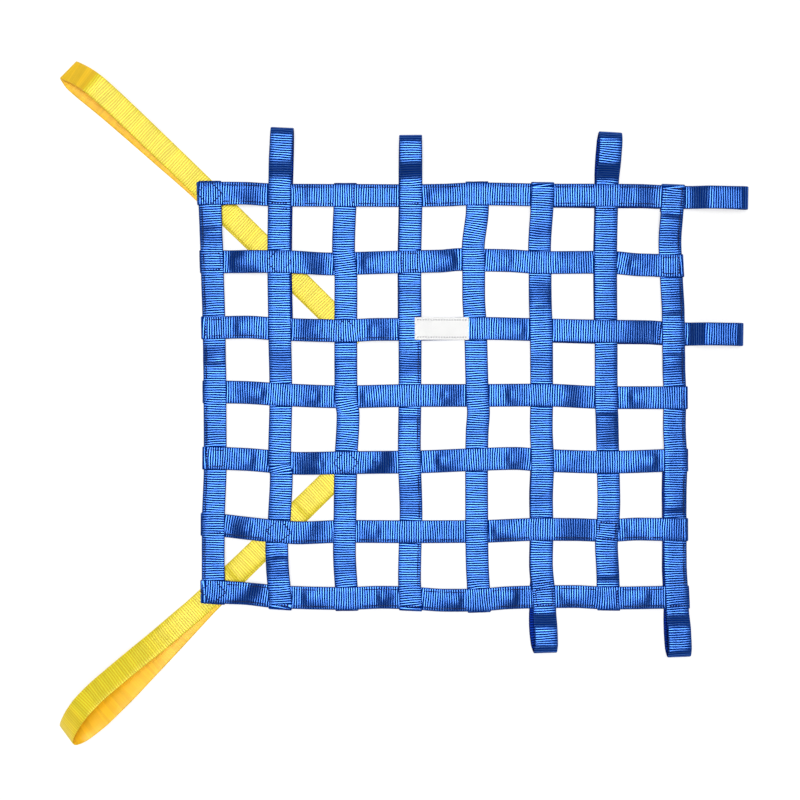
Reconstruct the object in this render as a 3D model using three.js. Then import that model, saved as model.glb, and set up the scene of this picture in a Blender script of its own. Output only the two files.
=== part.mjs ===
// Window net of flat ribbed webbing, laid out flat on a surface.
// Eight straps run down the net and seven run across it in plain weave. Seven of their ends turn
// back in open loops. Two folded tethers run on the diagonal under the left corners.
// Millimetres, +Z up, +X to the net's right, +Y to its top, the surface at z = 0.

import * as THREE from "three";

// Webbing
const WEB_WIDTH = 25;
const WEB_THICK = 1.3;
const PLY_GAP = 0.3;
const PLY_STEP = WEB_THICK + PLY_GAP;

// Middle of the whole outline, seen from the middle of the net's drawing
const OUTLINE_MIDDLE = { x: 0.8, y: 1 };

// How a strap lies where it crosses another
const FLAT_HALF = 14;
const RETURN_REACH = 16.5;
const RETURN_FLAT = 17.5;
const FOLD_REACH = WEB_WIDTH / 2 + PLY_GAP + WEB_THICK;
const FOLD_CORNER = 1;
const BORDER_REACH = 9;
const UNDER_MARGIN = 1;
const BOW = 0.4;
const BOW_LEAST_RUN = 5;

// Open loops
const LOOP_TOP = 12;
const NOSE_LENGTH = 9;
const NOSE_STEPS = 8;
const LOOP_STEPS = 4;
const LONG_STEP = 5;
const HELD_BY = 3;
const HELD_PAST = 10;
const SHIFT_REACH = 20;

// Label
const LABEL = { left: 12.8, right: 71.9, y: 81.4, height: 24.8, thick: 1 };

// Straps down the net, from its top end. drift is the sideways place at rows 1 to 7, from x.
// turn is where the strap changes level in each gap, from the gap's middle, and run is how long
// that takes. sway adds places between the rows, measured down from the net's middle.
const COLUMNS = [
  {
    name: "column_1", x: -208, drift: [-3, -0.6, 1.1, 2.4, 2.4, 0.6, 1.1],
    turn: [0, 0, 4, 0, 0, 0], run: [24, 40, 14, 40, 40, 40], sway: [],
  },
  {
    name: "column_2", x: -136, drift: [1, 0.3, 1.3, 2.1, 0.9, 0.1, 1.7],
    turn: [0, 0, 0, 0, 0, -7], run: [40, 40, 40, 40, 40, 12],
    sway: [{ at: 78.9, by: 2.9 }, { at: 122.8, by: 0.9 }, { at: 155.6, by: -2.1 }, { at: 177.6, by: -1.3 }],
  },
  {
    name: "column_3", x: -64, drift: [0.9, 0.3, 1.4, 1.6, 1.5, 0.3, 2.6],
    turn: [0, 0, -5, 0, 0, 0], run: [40, 40, 18, 40, 40, 40],
    sway: [{ at: -167.7, by: -1.1 }, { at: -134.8, by: 1.6 }, { at: 13.2, by: 3.9 }, { at: 161.1, by: -0.1 }],
  },
  {
    name: "column_4", x: 8, drift: [0.7, -0.5, -0.3, -0.4, -0.8, 0.3, 0.2],
    turn: [0, 0, 0, -12, 0, 0], run: [40, 40, 40, 26, 40, 40],
    sway: [{ at: 46, by: -1.1 }, { at: 122.8, by: 0.8 }, { at: 194, by: -0.9 }],
  },
  {
    name: "column_5", x: 80, drift: [1, -2.7, -0.5, 1.4, 0.6, 0.7, 3.3],
    turn: [0, 0, 0, 0, 0, 0], run: [40, 40, 40, 40, 40, 40],
    sway: [
      { at: -214.8, by: 1.5 }, { at: -167.7, by: -3.2 }, { at: -117, by: -2.6 },
      { at: 9.9, by: 2.6 }, { at: 32, by: 1.2 }, { at: 176, by: 1.3 },
    ],
  },
  {
    name: "column_6", x: 152, drift: [0.7, -1.7, -0.9, 0, 0.7, 0.1, 2.4],
    turn: [0, 12, 0, 0, 0, 0], run: [40, 14, 40, 40, 40, 40],
    sway: [
      { at: -167.7, by: -2.4 }, { at: -117, by: -1.9 }, { at: 29.7, by: -0.7 },
      { at: 103, by: -0.5 }, { at: 176, by: -0.6 },
    ],
  },
  {
    name: "column_7", x: 224, drift: [-1, -2.4, -2, -1.4, 0.7, -0.2, 1.2],
    turn: [0, 0, 0, -17, 0, 17], run: [40, 40, 40, 12, 40, 12],
    sway: [{ at: 106.3, by: 1.4 }, { at: 155.6, by: -1.3 }, { at: 178, by: -0.3 }],
  },
  {
    name: "column_8", x: 296, drift: [-0.5, -2.9, -0.2, 1.6, 2, 1.7, 3.4],
    turn: [-17, 15, -12, 0, 17, 0], run: [14, 14, 16, 40, 12, 40],
    sway: [
      { at: -178.7, by: -4 }, { at: -44, by: 0.1 }, { at: 29.7, by: 0.8 },
      { at: 103, by: 1.3 }, { at: 176, by: 1.6 },
    ],
  },
];

// Straps across the net, from its left end. drift is the place up or down at columns 1 to 8, from y.
const ROWS = [
  {
    name: "row_1", y: 227, drift: [1.6, 0.4, 0, 0, 1.7, 0.5, 0, -1.8],
    turn: [17, -7, 0, -17, 0, 0, -7], run: [14, 18, 40, 14, 40, 40, 26],
    sway: [{ at: -172, by: 1.9 }, { at: 44, by: 0.4 }, { at: 260, by: -0.2 }],
  },
  {
    name: "row_2", y: 153.7, drift: [0.8, 0.7, -1.1, 0.8, 3, 0, 0.4, -3.5],
    turn: [-17, 11, -16, 14, 4, -17, -10], run: [10, 18, 12, 10, 18, 12, 8],
    sway: [
      { at: -77.8, by: -1.5 }, { at: 40, by: 1.6 }, { at: 62.5, by: 3.5 },
      { at: 116, by: 2.2 }, { at: 259.8, by: -2.6 },
    ],
  },
  {
    name: "row_3", y: 80.3, drift: [1.9, 0.5, -1.4, 0.3, 1.4, -0.2, -1.9, -4.3],
    turn: [-11, 9, -10, 0, 17, 0, 20], run: [12, 12, 12, 12, 12, 40, 20],
    sway: [{ at: -172, by: 2.7 }, { at: -28, by: 0.1 }, { at: 268, by: -2.3 }],
  },
  {
    name: "row_4", y: 7, drift: [5.3, 2.3, -0.2, 1.2, 1.3, 1.7, -1.1, -1.2],
    turn: [17, 6, -17, -2, -2, -15, -11], run: [10, 10, 14, 8, 10, 14, 12], sway: [{ at: -172, by: 4.5 }],
  },
  {
    name: "row_5", y: -66.3, drift: [6.1, 1.6, 1.1, 1.7, 4.4, 3.6, 1.6, 3.8],
    turn: [7, 11, -12, -6, -2, 0, 17], run: [12, 10, 12, 10, 10, 40, 12],
    sway: [{ at: -172, by: 4.6 }, { at: -112.9, by: 0.2 }, { at: 122.8, by: 5.6 }],
  },
  {
    name: "row_6", y: -139.7, drift: [7, -0.6, -0.9, -1.2, -1.1, 1.6, -0.1, 1.3],
    turn: [5, 0, 1, 0, -17, 0, -17], run: [10, 40, 18, 40, 14, 40, 16],
    sway: [{ at: -112.9, by: -2.2 }, { at: 188, by: 1.2 }, { at: 260, by: 1.8 }],
  },
  {
    name: "row_7", y: -213, drift: [7.4, 0.9, -0.7, -0.5, -2.5, 0.8, -0.3, 0.7],
    turn: [4, -10, 0, 17, 5, -17, 6], run: [30, 12, 8, 10, 10, 16, 14],
    sway: [
      { at: -172, by: 5.1 }, { at: -25.2, by: 0.4 }, { at: 46, by: -2.8 },
      { at: 116, by: 0 }, { at: 188, by: 1.2 },
    ],
  },
];

// Open loops past a border strap. reach is from that strap's middle to the tip, rise is where the
// front ply climbs and lean is how far the tip goes sideways. The hidden ply goes on below the
// front one to the third strap that it crosses. back is how far it lies to one side.
const LOOPS = [
  {
    strap: "column_2", end: "start", reach: 73.4, rise: 28, lean: 3.2,
    back: { inside: 1.8, atBorder: 1.8, halfWay: 1.2, atTip: 0 },
  },
  {
    strap: "column_4", end: "start", reach: 65.7, rise: 27, lean: -0.4,
    back: { inside: -1, atBorder: -1, halfWay: -0.8, atTip: 0 },
  },
  {
    strap: "column_7", end: "start", reach: 68.9, rise: 26, lean: 3.9,
    back: { inside: -0.7, atBorder: -1.5, halfWay: -2, atTip: -1 },
  },
  {
    strap: "row_1", end: "finish", reach: 81.4, rise: 36, lean: -1.9,
    back: { inside: -1.1, atBorder: 0, halfWay: 1.4, atTip: 0.6 },
  },
  {
    strap: "row_3", end: "finish", reach: 75.7, rise: 29, lean: -1.3,
    back: { inside: -1.3, atBorder: -0.5, halfWay: 0.4, atTip: 0 },
  },
  {
    strap: "column_6", end: "finish", reach: 60.7, rise: 32, lean: 2,
    back: { inside: -0.8, atBorder: -4.2, halfWay: -4.8, atTip: -2 },
  },
  {
    strap: "column_8", end: "finish", reach: 65, rise: 33, lean: 2.7,
    back: { inside: -1.6, atBorder: -2, halfWay: -2.8, atTip: -1.5 },
  },
];

// Folded tethers. at is the point under the inner crossing, heading points out past the corner,
// and side is positive on the side given. spread is the band that the two plies cover under the
// net. Each row of a ply is a place on the middle of the webbing: along the heading from at,
// to the side, its height and its tilt in degrees, which lifts the side edge.
const TETHERS = [
  {
    name: "tether_upper", at: { x: -61.5, y: 80 }, heading: { x: -0.71, y: 0.704 },
    side: { x: -0.704, y: -0.71 }, spread: { from: -13, to: 16.5 },
    crossings: [{ column: 1, row: 1 }, { column: 2, row: 2 }, { column: 3, row: 3 }],
    front: [
      { along: -19, side: 0, z: 2.25, tilt: 0 },
      { along: 60, side: -0.2, z: 2.25, tilt: 0 },
      { along: 140, side: 0, z: 2.25, tilt: 0 },
      { along: 236, side: 0.5, z: 2.25, tilt: 0 },
      { along: 260, side: 0.8, z: 3.8, tilt: 0 },
      { along: 290, side: 1.3, z: 7.5, tilt: 1 },
      { along: 330, side: 2, z: 13.2, tilt: 2 },
      { along: 360, side: 2.9, z: 17, tilt: 2 },
      { along: 374, side: 3.6, z: 18.4, tilt: 1.5 },
      { along: 380, side: 4.1, z: 18.7, tilt: 1 },
      { along: 384, side: 4.6, z: 18.3, tilt: 1 },
      { along: 388, side: 5.1, z: 17, tilt: 0.5 },
      { along: 394, side: 6.1, z: 14.3, tilt: 0 },
      { along: 401, side: 7.7, z: 11.2, tilt: 0 },
      { along: 408, side: 9.7, z: 8.1, tilt: 0 },
    ],
    nose: roundNose({ along: 414.2, radius: 2.2, from: 24, sides: [11.9, 13.5] }),
    back: [
      { along: 410, side: 14.6, z: 0.65, tilt: 0 },
      { along: 403, side: 15.7, z: 0.65, tilt: 0 },
      { along: 390, side: 15, z: 0.65, tilt: 0 },
      { along: 376, side: 13.6, z: 0.65, tilt: 0 },
      { along: 354, side: 11.6, z: 0.65, tilt: 0 },
      { along: 280, side: 6.6, z: 0.65, tilt: 0 },
      { along: 222, side: 3.2, z: 0.65, tilt: 0 },
      { along: 140, side: 1.8, z: 0.65, tilt: 0 },
      { along: 60, side: 1, z: 0.65, tilt: 0 },
      { along: -17, side: 0.5, z: 0.65, tilt: 0 },
    ],
  },
  {
    name: "tether_lower", at: { x: -60.9, y: -66.9 }, heading: { x: -0.718, y: -0.696 },
    side: { x: 0.696, y: -0.718 }, spread: { from: -14.5, to: 16.5 },
    crossings: [{ column: 1, row: 7 }, { column: 2, row: 6 }, { column: 3, row: 5 }],
    front: [
      { along: -19, side: 0, z: 2.25, tilt: 0 },
      { along: 60, side: 0, z: 2.25, tilt: 0 },
      { along: 140, side: -0.3, z: 2.25, tilt: 0 },
      { along: 226, side: -1.7, z: 2.25, tilt: 0 },
      { along: 250, side: -3.3, z: 4.8, tilt: 5 },
      { along: 281, side: -5.6, z: 10.5, tilt: 12 },
      { along: 309, side: -8.3, z: 17, tilt: 17 },
      { along: 340, side: -10.9, z: 24, tilt: 20 },
      { along: 368, side: -12.4, z: 29, tilt: 20 },
      { along: 385, side: -11.8, z: 30, tilt: 20 },
      { along: 400, side: -9.5, z: 27, tilt: 21 },
      { along: 408, side: -7.6, z: 24, tilt: 21.5 },
      { along: 414.5, side: -5.7, z: 20.6, tilt: 22 },
    ],
    nose: [
      { along: 420, side: -3.6, z: 16.5, tilt: 22, fold: 0 },
      { along: 422.8, side: -1.7, z: 13.6, tilt: 22, fold: 0 },
      { along: 423.6, side: 0.4, z: 10.9, tilt: 21.5, fold: 0 },
      { along: 422.3, side: 2.6, z: 8.4, tilt: 20, fold: 0 },
      { along: 419.4, side: 4.5, z: 6.3, tilt: 18.5, fold: 0 },
    ],
    back: [
      { along: 413, side: 6.7, z: 4.6, tilt: 16.5 },
      { along: 403, side: 8.3, z: 3.8, tilt: 14 },
      { along: 382, side: 9.9, z: 3.3, tilt: 12 },
      { along: 354, side: 9.7, z: 2.9, tilt: 10 },
      { along: 317, side: 8.1, z: 2.4, tilt: 8 },
      { along: 274, side: 6, z: 1.6, tilt: 4 },
      { along: 240, side: 4.1, z: 0.95, tilt: 1 },
      { along: 216, side: 2.9, z: 0.65, tilt: 0 },
      { along: 140, side: 1.8, z: 0.65, tilt: 0 },
      { along: 60, side: 1.4, z: 0.65, tilt: 0 },
      { along: -17, side: 0.5, z: 0.65, tilt: 0 },
    ],
  },
];

// Colours
const BLUE = { color: 0x1f5fc4, roughness: 0.75, metalness: 0 };
const YELLOW = { color: 0xf2d327, roughness: 0.75, metalness: 0 };
const WHITE = { color: 0xf4f4f2, roughness: 0.8, metalness: 0 };

// Curves
function smoothStep(share) {
  const t = Math.min(1, Math.max(0, share));
  return t * t * (3 - 2 * t);
}

function kneeSlope(before, after) {
  return before * after <= 0 ? 0 : (2 * before * after) / (before + after);
}

// A curve through knots { at, by } with no overshoot between them, and straight past its ends
function throughKnots(knots, at) {
  const last = knots.length - 1;
  const rise = (i) => (knots[i + 1].by - knots[i].by) / (knots[i + 1].at - knots[i].at);
  if (at <= knots[0].at) return knots[0].by + rise(0) * (at - knots[0].at);
  if (at >= knots[last].at) return knots[last].by + rise(last - 1) * (at - knots[last].at);
  const k = knots.findIndex((knot) => knot.at > at) - 1;
  const startSlope = k === 0 ? rise(0) : kneeSlope(rise(k - 1), rise(k));
  const endSlope = k === last - 1 ? rise(k) : kneeSlope(rise(k), rise(k + 1));
  const width = knots[k + 1].at - knots[k].at;
  const t = (at - knots[k].at) / width;
  const blend = smoothStep(t);
  const lift = t * (1 - t) * (1 - t) * startSlope * width;
  const drop = t * t * (t - 1) * endSlope * width;
  return knots[k].by * (1 - blend) + knots[k + 1].by * blend + lift + drop;
}

// Straps as one kind of thing: along is measured down a column and from left to right on a row
function makeStrap(source, index, isColumn) {
  const crossed = isColumn ? ROWS.map((row) => -row.y) : COLUMNS.map((column) => column.x);
  const place = isColumn ? source.x : source.y;
  const knots = crossed.map((at, k) => ({ at, by: place + source.drift[k] }));
  const sways = source.sway.map(({ at, by }) => ({ at, by: place + by }));
  const loops = Object.fromEntries(LOOPS.filter((loop) => loop.strap === source.name).map((loop) => [loop.end, loop]));
  const border = { start: knots[0], finish: knots.at(-1) };
  const tips = Object.values(loops).map(({ end, reach, lean }) => ({
    at: border[end].at + (end === "start" ? -reach : reach), by: border[end].by + lean,
  }));
  return {
    ...source,
    isColumn,
    index,
    axis: isColumn ? new THREE.Vector3(0, -1, 0) : new THREE.Vector3(1, 0, 0),
    across: isColumn ? new THREE.Vector3(1, 0, 0) : new THREE.Vector3(0, 1, 0),
    origin: new THREE.Vector3(),
    knots: [...knots, ...sways, ...tips].sort((a, b) => a.at - b.at),
    loops,
  };
}

const columns = COLUMNS.map((column, k) => makeStrap(column, k + 1, true));
const rows = ROWS.map((row, k) => makeStrap(row, k + 1, false));

const crossedBy = (strap, k) => (strap.isColumn ? rows[k] : columns[k]);
const nominalAlong = (strap) => (strap.isColumn ? strap.x : -strap.y);

// Where crossing k lies along the strap
function crossingAt(strap, k) {
  const place = throughKnots(crossedBy(strap, k).knots, nominalAlong(strap));
  return strap.isColumn ? -place : place;
}

// Sideways slope of the strap that is crossed at k
function slopeOfCrossed(strap, k) {
  const { knots } = crossedBy(strap, k);
  const at = nominalAlong(strap);
  return (throughKnots(knots, at + WEB_WIDTH / 2) - throughKnots(knots, at - WEB_WIDTH / 2)) / WEB_WIDTH;
}

// The name of the ply that turns back at a strap's end
const backOf = (strap) => `${strap.name} back`;

// Does the ply that turns back lie at this crossing of the strap?
function backLiesAt(strap, k) {
  const count = strap.drift.length;
  const held = (end) => (strap.loops[end] ? HELD_BY : 1);
  return k < held("start") || k >= count - held("finish");
}

// The plies at a crossing, from the surface up
function stackAt(column, row) {
  const stack = [];
  for (const tether of TETHERS) {
    const crosses = tether.crossings.some((c) => c.column === column.index && c.row === row.index);
    if (crosses) stack.push(`${tether.name} back`, tether.name);
  }
  const rowOnTop = (column.index + row.index) % 2 === 0;
  const upper = rowOnTop ? row : column;
  const lower = rowOnTop ? column : row;
  const order = (strap) => (strap === column ? row.index : column.index) - 1;
  for (const strap of [upper, lower]) {
    if (backLiesAt(strap, order(strap))) stack.push(backOf(strap));
  }
  stack.push(lower.name, upper.name);
  return stack;
}

function plyHeight(level) {
  return WEB_THICK / 2 + level * PLY_STEP;
}

function heightAtCrossing(strap, k, plyName) {
  const column = strap.isColumn ? strap : columns[k];
  const row = strap.isColumn ? rows[k] : strap;
  return plyHeight(stackAt(column, row).indexOf(plyName));
}

// The stretch of a strap that lies over a tether
function stretchOverTether(strap, k, tether) {
  const middle = throughKnots(strap.knots, crossingAt(strap, k));
  const side = new THREE.Vector3(tether.side.x, tether.side.y, 0);
  const start = new THREE.Vector3(tether.at.x, tether.at.y, 0);
  const ends = [];
  for (const edge of [-WEB_WIDTH / 2, WEB_WIDTH / 2]) {
    for (const border of [tether.spread.from, tether.spread.to]) {
      const onEdge = strap.across.clone().multiplyScalar(middle + edge).sub(start);
      ends.push((border - onEdge.dot(side)) / strap.axis.dot(side));
    }
  }
  return { low: Math.min(...ends) - UNDER_MARGIN, high: Math.max(...ends) + UNDER_MARGIN };
}

// The level stretches of a strap, one at each crossing
function flatsOf(strap) {
  const count = strap.drift.length;
  return strap.drift.map((_, k) => {
    const middle = crossingAt(strap, k);
    let low = middle - (k === count - 1 ? RETURN_FLAT : FLAT_HALF);
    let high = middle + (k === 0 ? RETURN_FLAT : FLAT_HALF);
    for (const tether of TETHERS) {
      const crosses = tether.crossings.some((c) =>
        strap.isColumn ? c.column === strap.index && c.row === k + 1 : c.row === strap.index && c.column === k + 1);
      if (!crosses) continue;
      const over = stretchOverTether(strap, k, tether);
      low = Math.min(low, over.low);
      high = Math.max(high, over.high);
    }
    return { middle, low, high };
  });
}

// Where the strap changes level between flats k and k + 1
function turnOf(strap, flats, k) {
  const room = flats[k + 1].low - flats[k].high;
  const run = Math.min(strap.run[k], room);
  const gapMiddle = (flats[k].middle + flats[k + 1].middle) / 2;
  const least = flats[k].high + run / 2;
  const most = flats[k + 1].low - run / 2;
  const middle = Math.min(most, Math.max(least, gapMiddle + strap.turn[k]));
  return { from: middle - run / 2, to: middle + run / 2 };
}

// Height of a ply's middle, level at the flats and changing at the turns
function heightAlong(strap, flats, heights, at, bowed) {
  const last = flats.length - 1;
  if (at <= flats[0].high) return heights[0];
  if (at >= flats[last].low) return heights[last];
  const k = flats.findIndex((flat) => at < flat.low) - 1;
  if (k < 0 || at <= flats[k].high) {
    return heights[flats.findIndex((flat) => at <= flat.high)];
  }
  const turn = turnOf(strap, flats, k);
  const share = smoothStep((at - turn.from) / (turn.to - turn.from));
  const height = heights[k] + (heights[k + 1] - heights[k]) * share;
  if (!bowed || heights[k] === heights[k + 1]) return height;
  const highFirst = heights[k] > heights[k + 1];
  const from = highFirst ? flats[k].high : (turn.from + turn.to) / 2;
  const to = highFirst ? (turn.from + turn.to) / 2 : flats[k + 1].low;
  if (to - from < BOW_LEAST_RUN || at <= from || at >= to) return height;
  return height + BOW * Math.sin((Math.PI * (at - from)) / (to - from)) ** 2;
}

// The places along a ply where its shape needs a ring
function ringPlaces(strap, flats, from, to) {
  const places = [from, to];
  flats.forEach((flat, k) => {
    places.push(flat.low, flat.middle, flat.high);
    if (k === flats.length - 1) return;
    const turn = turnOf(strap, flats, k);
    for (const share of [0, 0.25, 0.5, 0.75, 1]) places.push(turn.from + (turn.to - turn.from) * share);
    places.push((flat.high + turn.from) / 2, (turn.to + flats[k + 1].low) / 2);
  });
  const inside = places.filter((at) => at >= from && at <= to).sort((a, b) => a - b);
  return inside.filter((at, k) => k === 0 || at - inside[k - 1] > 0.5 || at === to)
    .filter((at, k, all) => k === all.length - 1 || all[k + 1] - at > 0.5 || k === 0);
}

// A close fold: out, down round two corners and back. fold is the slope of its folded edge.
function closeFold(edge, sign, side, top, bottom, fold) {
  const corner = Math.min(FOLD_CORNER, (top - bottom) / 2);
  const outer = edge + sign * (FOLD_REACH - WEB_THICK / 2 - corner);
  const bend = [];
  for (const [centre, first] of [[top - corner, 90], [bottom + corner, 0]]) {
    for (const turned of [0, 30, 60, 90]) {
      const angle = THREE.MathUtils.degToRad(first - turned);
      const z = centre + corner * Math.sin(angle);
      if (turned === 0 && bend.length && Math.abs(bend.at(-1).z - z) < 0.05) continue;
      bend.push({ along: outer + sign * corner * Math.cos(angle), side, z, fold });
    }
  }
  return bend;
}

// The front ply past the border, the nose of the loop and the back ply to the border
function openLoop(strap, loop, border, sign, frontHeight, backHeight) {
  const floor = plyHeight(0);
  const front = [];
  const back = [];
  const { inside, atBorder, halfWay, atTip } = loop.back;
  const noseAt = loop.reach - WEB_THICK / 2 - NOSE_LENGTH;
  const lean = (out) => throughKnots(strap.knots, border + sign * out);
  const shift = (out) => {
    const share = Math.max(0, (out - FLAT_HALF) / (loop.reach - FLAT_HALF));
    const ends = atBorder * (1 - share) * (1 - 2 * share) + atTip * share * (2 * share - 1);
    return ends + halfWay * 4 * share * (1 - share);
  };
  const pinch = Math.min(22, loop.rise - 7);
  const pinchHeight = Math.min(frontHeight, plyHeight(1) + 0.2);
  const station = (out, z, isBack) => ({
    along: border + sign * out, side: lean(out) + (isBack ? shift(out) : 0), z,
  });
  for (let k = 1; k <= 2; k += 1) {
    const share = k / 2;
    const out = FLAT_HALF + (pinch - FLAT_HALF) * share;
    front.push(station(out, frontHeight + (pinchHeight - frontHeight) * smoothStep(share), false));
  }
  const crest = Math.min(2 * loop.rise - pinch, noseAt);
  for (let k = 1; k <= LOOP_STEPS; k += 1) {
    const share = k / LOOP_STEPS;
    const out = pinch + (crest - pinch) * share;
    front.push(station(out, pinchHeight + (LOOP_TOP - pinchHeight) * smoothStep(share), false));
  }
  if (noseAt - crest > 2) front.push(station(noseAt, LOOP_TOP, false));
  const nose = [];
  const half = (LOOP_TOP - floor) / 2;
  const fold = (lean(loop.reach) - lean(noseAt)) / (sign * (loop.reach - noseAt));
  for (let k = 1; k < NOSE_STEPS; k += 1) {
    const angle = (Math.PI * k) / NOSE_STEPS;
    const out = noseAt + NOSE_LENGTH * Math.sin(angle);
    const share = k / NOSE_STEPS;
    nose.push({
      along: border + sign * out, side: lean(out) + shift(out) * share,
      z: floor + half * (1 + Math.cos(angle)), fold,
    });
  }
  for (const share of [1, 0.75, 0.5, 0.25, 0]) {
    const out = 26 + (noseAt - 26) * share;
    back.push(station(out, floor, true));
  }
  back.push(station(20, (floor + backHeight) / 2, true));
  back.push(station(FLAT_HALF, backHeight, true));
  const shiftInside = (at) => atBorder + (inside - atBorder) * smoothStep(Math.abs(at - border) / SHIFT_REACH);
  return { front, nose, back, shiftInside };
}

// All stations of one end of a strap, from the front ply's last crossing out and back to the cut
function endStations(strap, flats, end) {
  const last = flats.length - 1;
  const k = end === "start" ? 0 : last;
  const sign = end === "start" ? -1 : 1;
  const border = flats[k].middle;
  const side = throughKnots(strap.knots, border);
  const frontHeights = flats.map((_, i) => heightAtCrossing(strap, i, strap.name));
  const backHeights = flats.map((_, i) => (backLiesAt(strap, i) ? heightAtCrossing(strap, i, backOf(strap)) : 0));
  const loop = strap.loops[end];
  if (!loop) {
    const past = border - sign * RETURN_REACH;
    return [
      ...closeFold(border, sign, side, frontHeights[k], backHeights[k], slopeOfCrossed(strap, k)),
      { along: past, side: throughKnots(strap.knots, past), z: backHeights[k] },
    ];
  }
  const open = openLoop(strap, loop, border, sign, frontHeights[k], backHeights[k]);
  const lastHeld = flats[end === "start" ? HELD_BY - 1 : last + 1 - HELD_BY];
  const cut = lastHeld.middle - sign * HELD_PAST;
  const held = ringPlaces(strap, flats, Math.min(cut, border), Math.max(cut, border));
  if (sign > 0) held.reverse();
  const inner = held.map((at) => ({
    along: at, side: throughKnots(strap.knots, at) + open.shiftInside(at),
    z: heightAlong(strap, flats, backHeights, at, false),
  }));
  return [...open.front, ...open.nose, ...open.back, ...inner];
}

// All stations of a strap, from one cut end to the other
function strapStations(strap) {
  const flats = flatsOf(strap);
  const last = flats.length - 1;
  const heights = flats.map((_, k) => heightAtCrossing(strap, k, strap.name));
  const startPlace = flats[0].middle - (strap.loops.start ? FLAT_HALF : BORDER_REACH);
  const endPlace = flats[last].middle + (strap.loops.finish ? FLAT_HALF : BORDER_REACH);
  const front = ringPlaces(strap, flats, startPlace, endPlace).map((at) => ({
    along: at, side: throughKnots(strap.knots, at), z: heightAlong(strap, flats, heights, at, true),
  }));
  return [...endStations(strap, flats, "start").reverse(), ...front, ...endStations(strap, flats, "finish")];
}

// The round nose of a fold that comes to rest on the surface. from is the angle at which the
// front ply meets it, in degrees from the top.
function roundNose({ along, radius, from, sides }) {
  return Array.from({ length: NOSE_STEPS }, (_, k) => {
    const share = k / (NOSE_STEPS - 1);
    const angle = THREE.MathUtils.degToRad(from + (180 - from) * share);
    return {
      along: along + radius * Math.sin(angle), side: sides[0] + (sides[1] - sides[0]) * share,
      z: plyHeight(0) + radius * (1 + Math.cos(angle)), tilt: 0, fold: 0,
    };
  });
}

// A tether's stations: those of its table, and one half way along each longer step
function tetherStations(tether) {
  const rowsOfTable = [...tether.front, ...tether.nose, ...tether.back];
  const lengths = [0];
  for (let k = 1; k < rowsOfTable.length; k += 1) {
    const a = rowsOfTable[k - 1];
    const b = rowsOfTable[k];
    lengths.push(lengths[k - 1] + Math.hypot(b.along - a.along, b.side - a.side, b.z - a.z));
  }
  const curves = ["along", "side", "z", "tilt"].map((key) => (
    { key, knots: rowsOfTable.map((row, k) => ({ at: lengths[k], by: row[key] })) }));
  const stationAt = (at) => Object.fromEntries(curves.map(({ key, knots }) => [key, throughKnots(knots, at)]));
  return rowsOfTable.flatMap((row, k) => {
    const next = rowsOfTable[k + 1];
    const isOpen = next !== undefined && row.fold === undefined && next.fold === undefined;
    return isOpen && lengths[k + 1] - lengths[k] > LONG_STEP ? [row, stationAt((lengths[k] + lengths[k + 1]) / 2)] : [row];
  });
}

// A closed strip of webbing through its stations. A ring is square to the strip, or along its
// folded edge where it has a fold slope.
function ribbon(strap, stations, width, thick) {
  const middle = new THREE.Vector3(-OUTLINE_MIDDLE.x, -OUTLINE_MIDDLE.y, 0).add(strap.origin);
  const up = new THREE.Vector3(0, 0, 1);
  const points = stations.map(({ along, side, z }) => middle.clone()
    .addScaledVector(strap.axis, along).addScaledVector(strap.across, side).addScaledVector(up, z));
  const position = [];
  stations.forEach(({ tilt = 0, fold }, k) => {
    const before = points[Math.max(0, k - 1)];
    const after = points[Math.min(points.length - 1, k + 1)];
    const tangent = after.clone().sub(before).normalize();
    const roll = THREE.MathUtils.degToRad(tilt);
    const across = strap.across.clone().addScaledVector(strap.axis, -(fold ?? 0)).normalize();
    across.multiplyScalar(Math.cos(roll)).addScaledVector(up, Math.sin(roll));
    if (fold === undefined) across.addScaledVector(tangent, -across.dot(tangent)).normalize();
    const half = width / 2 / Math.sqrt(1 - across.dot(tangent) ** 2);
    const normal = tangent.clone().cross(across).normalize();
    for (const [w, t] of [[-1, -1], [1, -1], [1, 1], [-1, 1]]) {
      const corner = points[k].clone().addScaledVector(across, w * half).addScaledVector(normal, (t * thick) / 2);
      position.push(corner.x, corner.y, Math.max(0, corner.z));
    }
  });
  const index = [];
  for (let k = 0; k + 1 < stations.length; k += 1) {
    for (let side = 0; side < 4; side += 1) {
      const a = 4 * k + side;
      const b = 4 * k + ((side + 1) % 4);
      index.push(a, b, b + 4, a, b + 4, a + 4);
    }
  }
  const end = 4 * (stations.length - 1);
  index.push(0, 2, 1, 0, 3, 2, end, end + 1, end + 2, end, end + 2, end + 3);
  const geometry = new THREE.BufferGeometry();
  geometry.setAttribute("position", new THREE.Float32BufferAttribute(position, 3));
  geometry.setIndex(index);
  return facingOut(geometry);
}

// Turns the faces over where they enclose a negative volume
function facingOut(geometry) {
  const position = geometry.getAttribute("position");
  const index = [...geometry.getIndex().array];
  const corner = (i) => new THREE.Vector3().fromBufferAttribute(position, index[i]);
  let volume = 0;
  for (let i = 0; i < index.length; i += 3) volume += corner(i).dot(corner(i + 1).cross(corner(i + 2)));
  if (volume < 0) {
    for (let i = 0; i < index.length; i += 3) [index[i], index[i + 1]] = [index[i + 1], index[i]];
    geometry.setIndex(index);
  }
  geometry.computeVertexNormals();
  return geometry;
}

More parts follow.
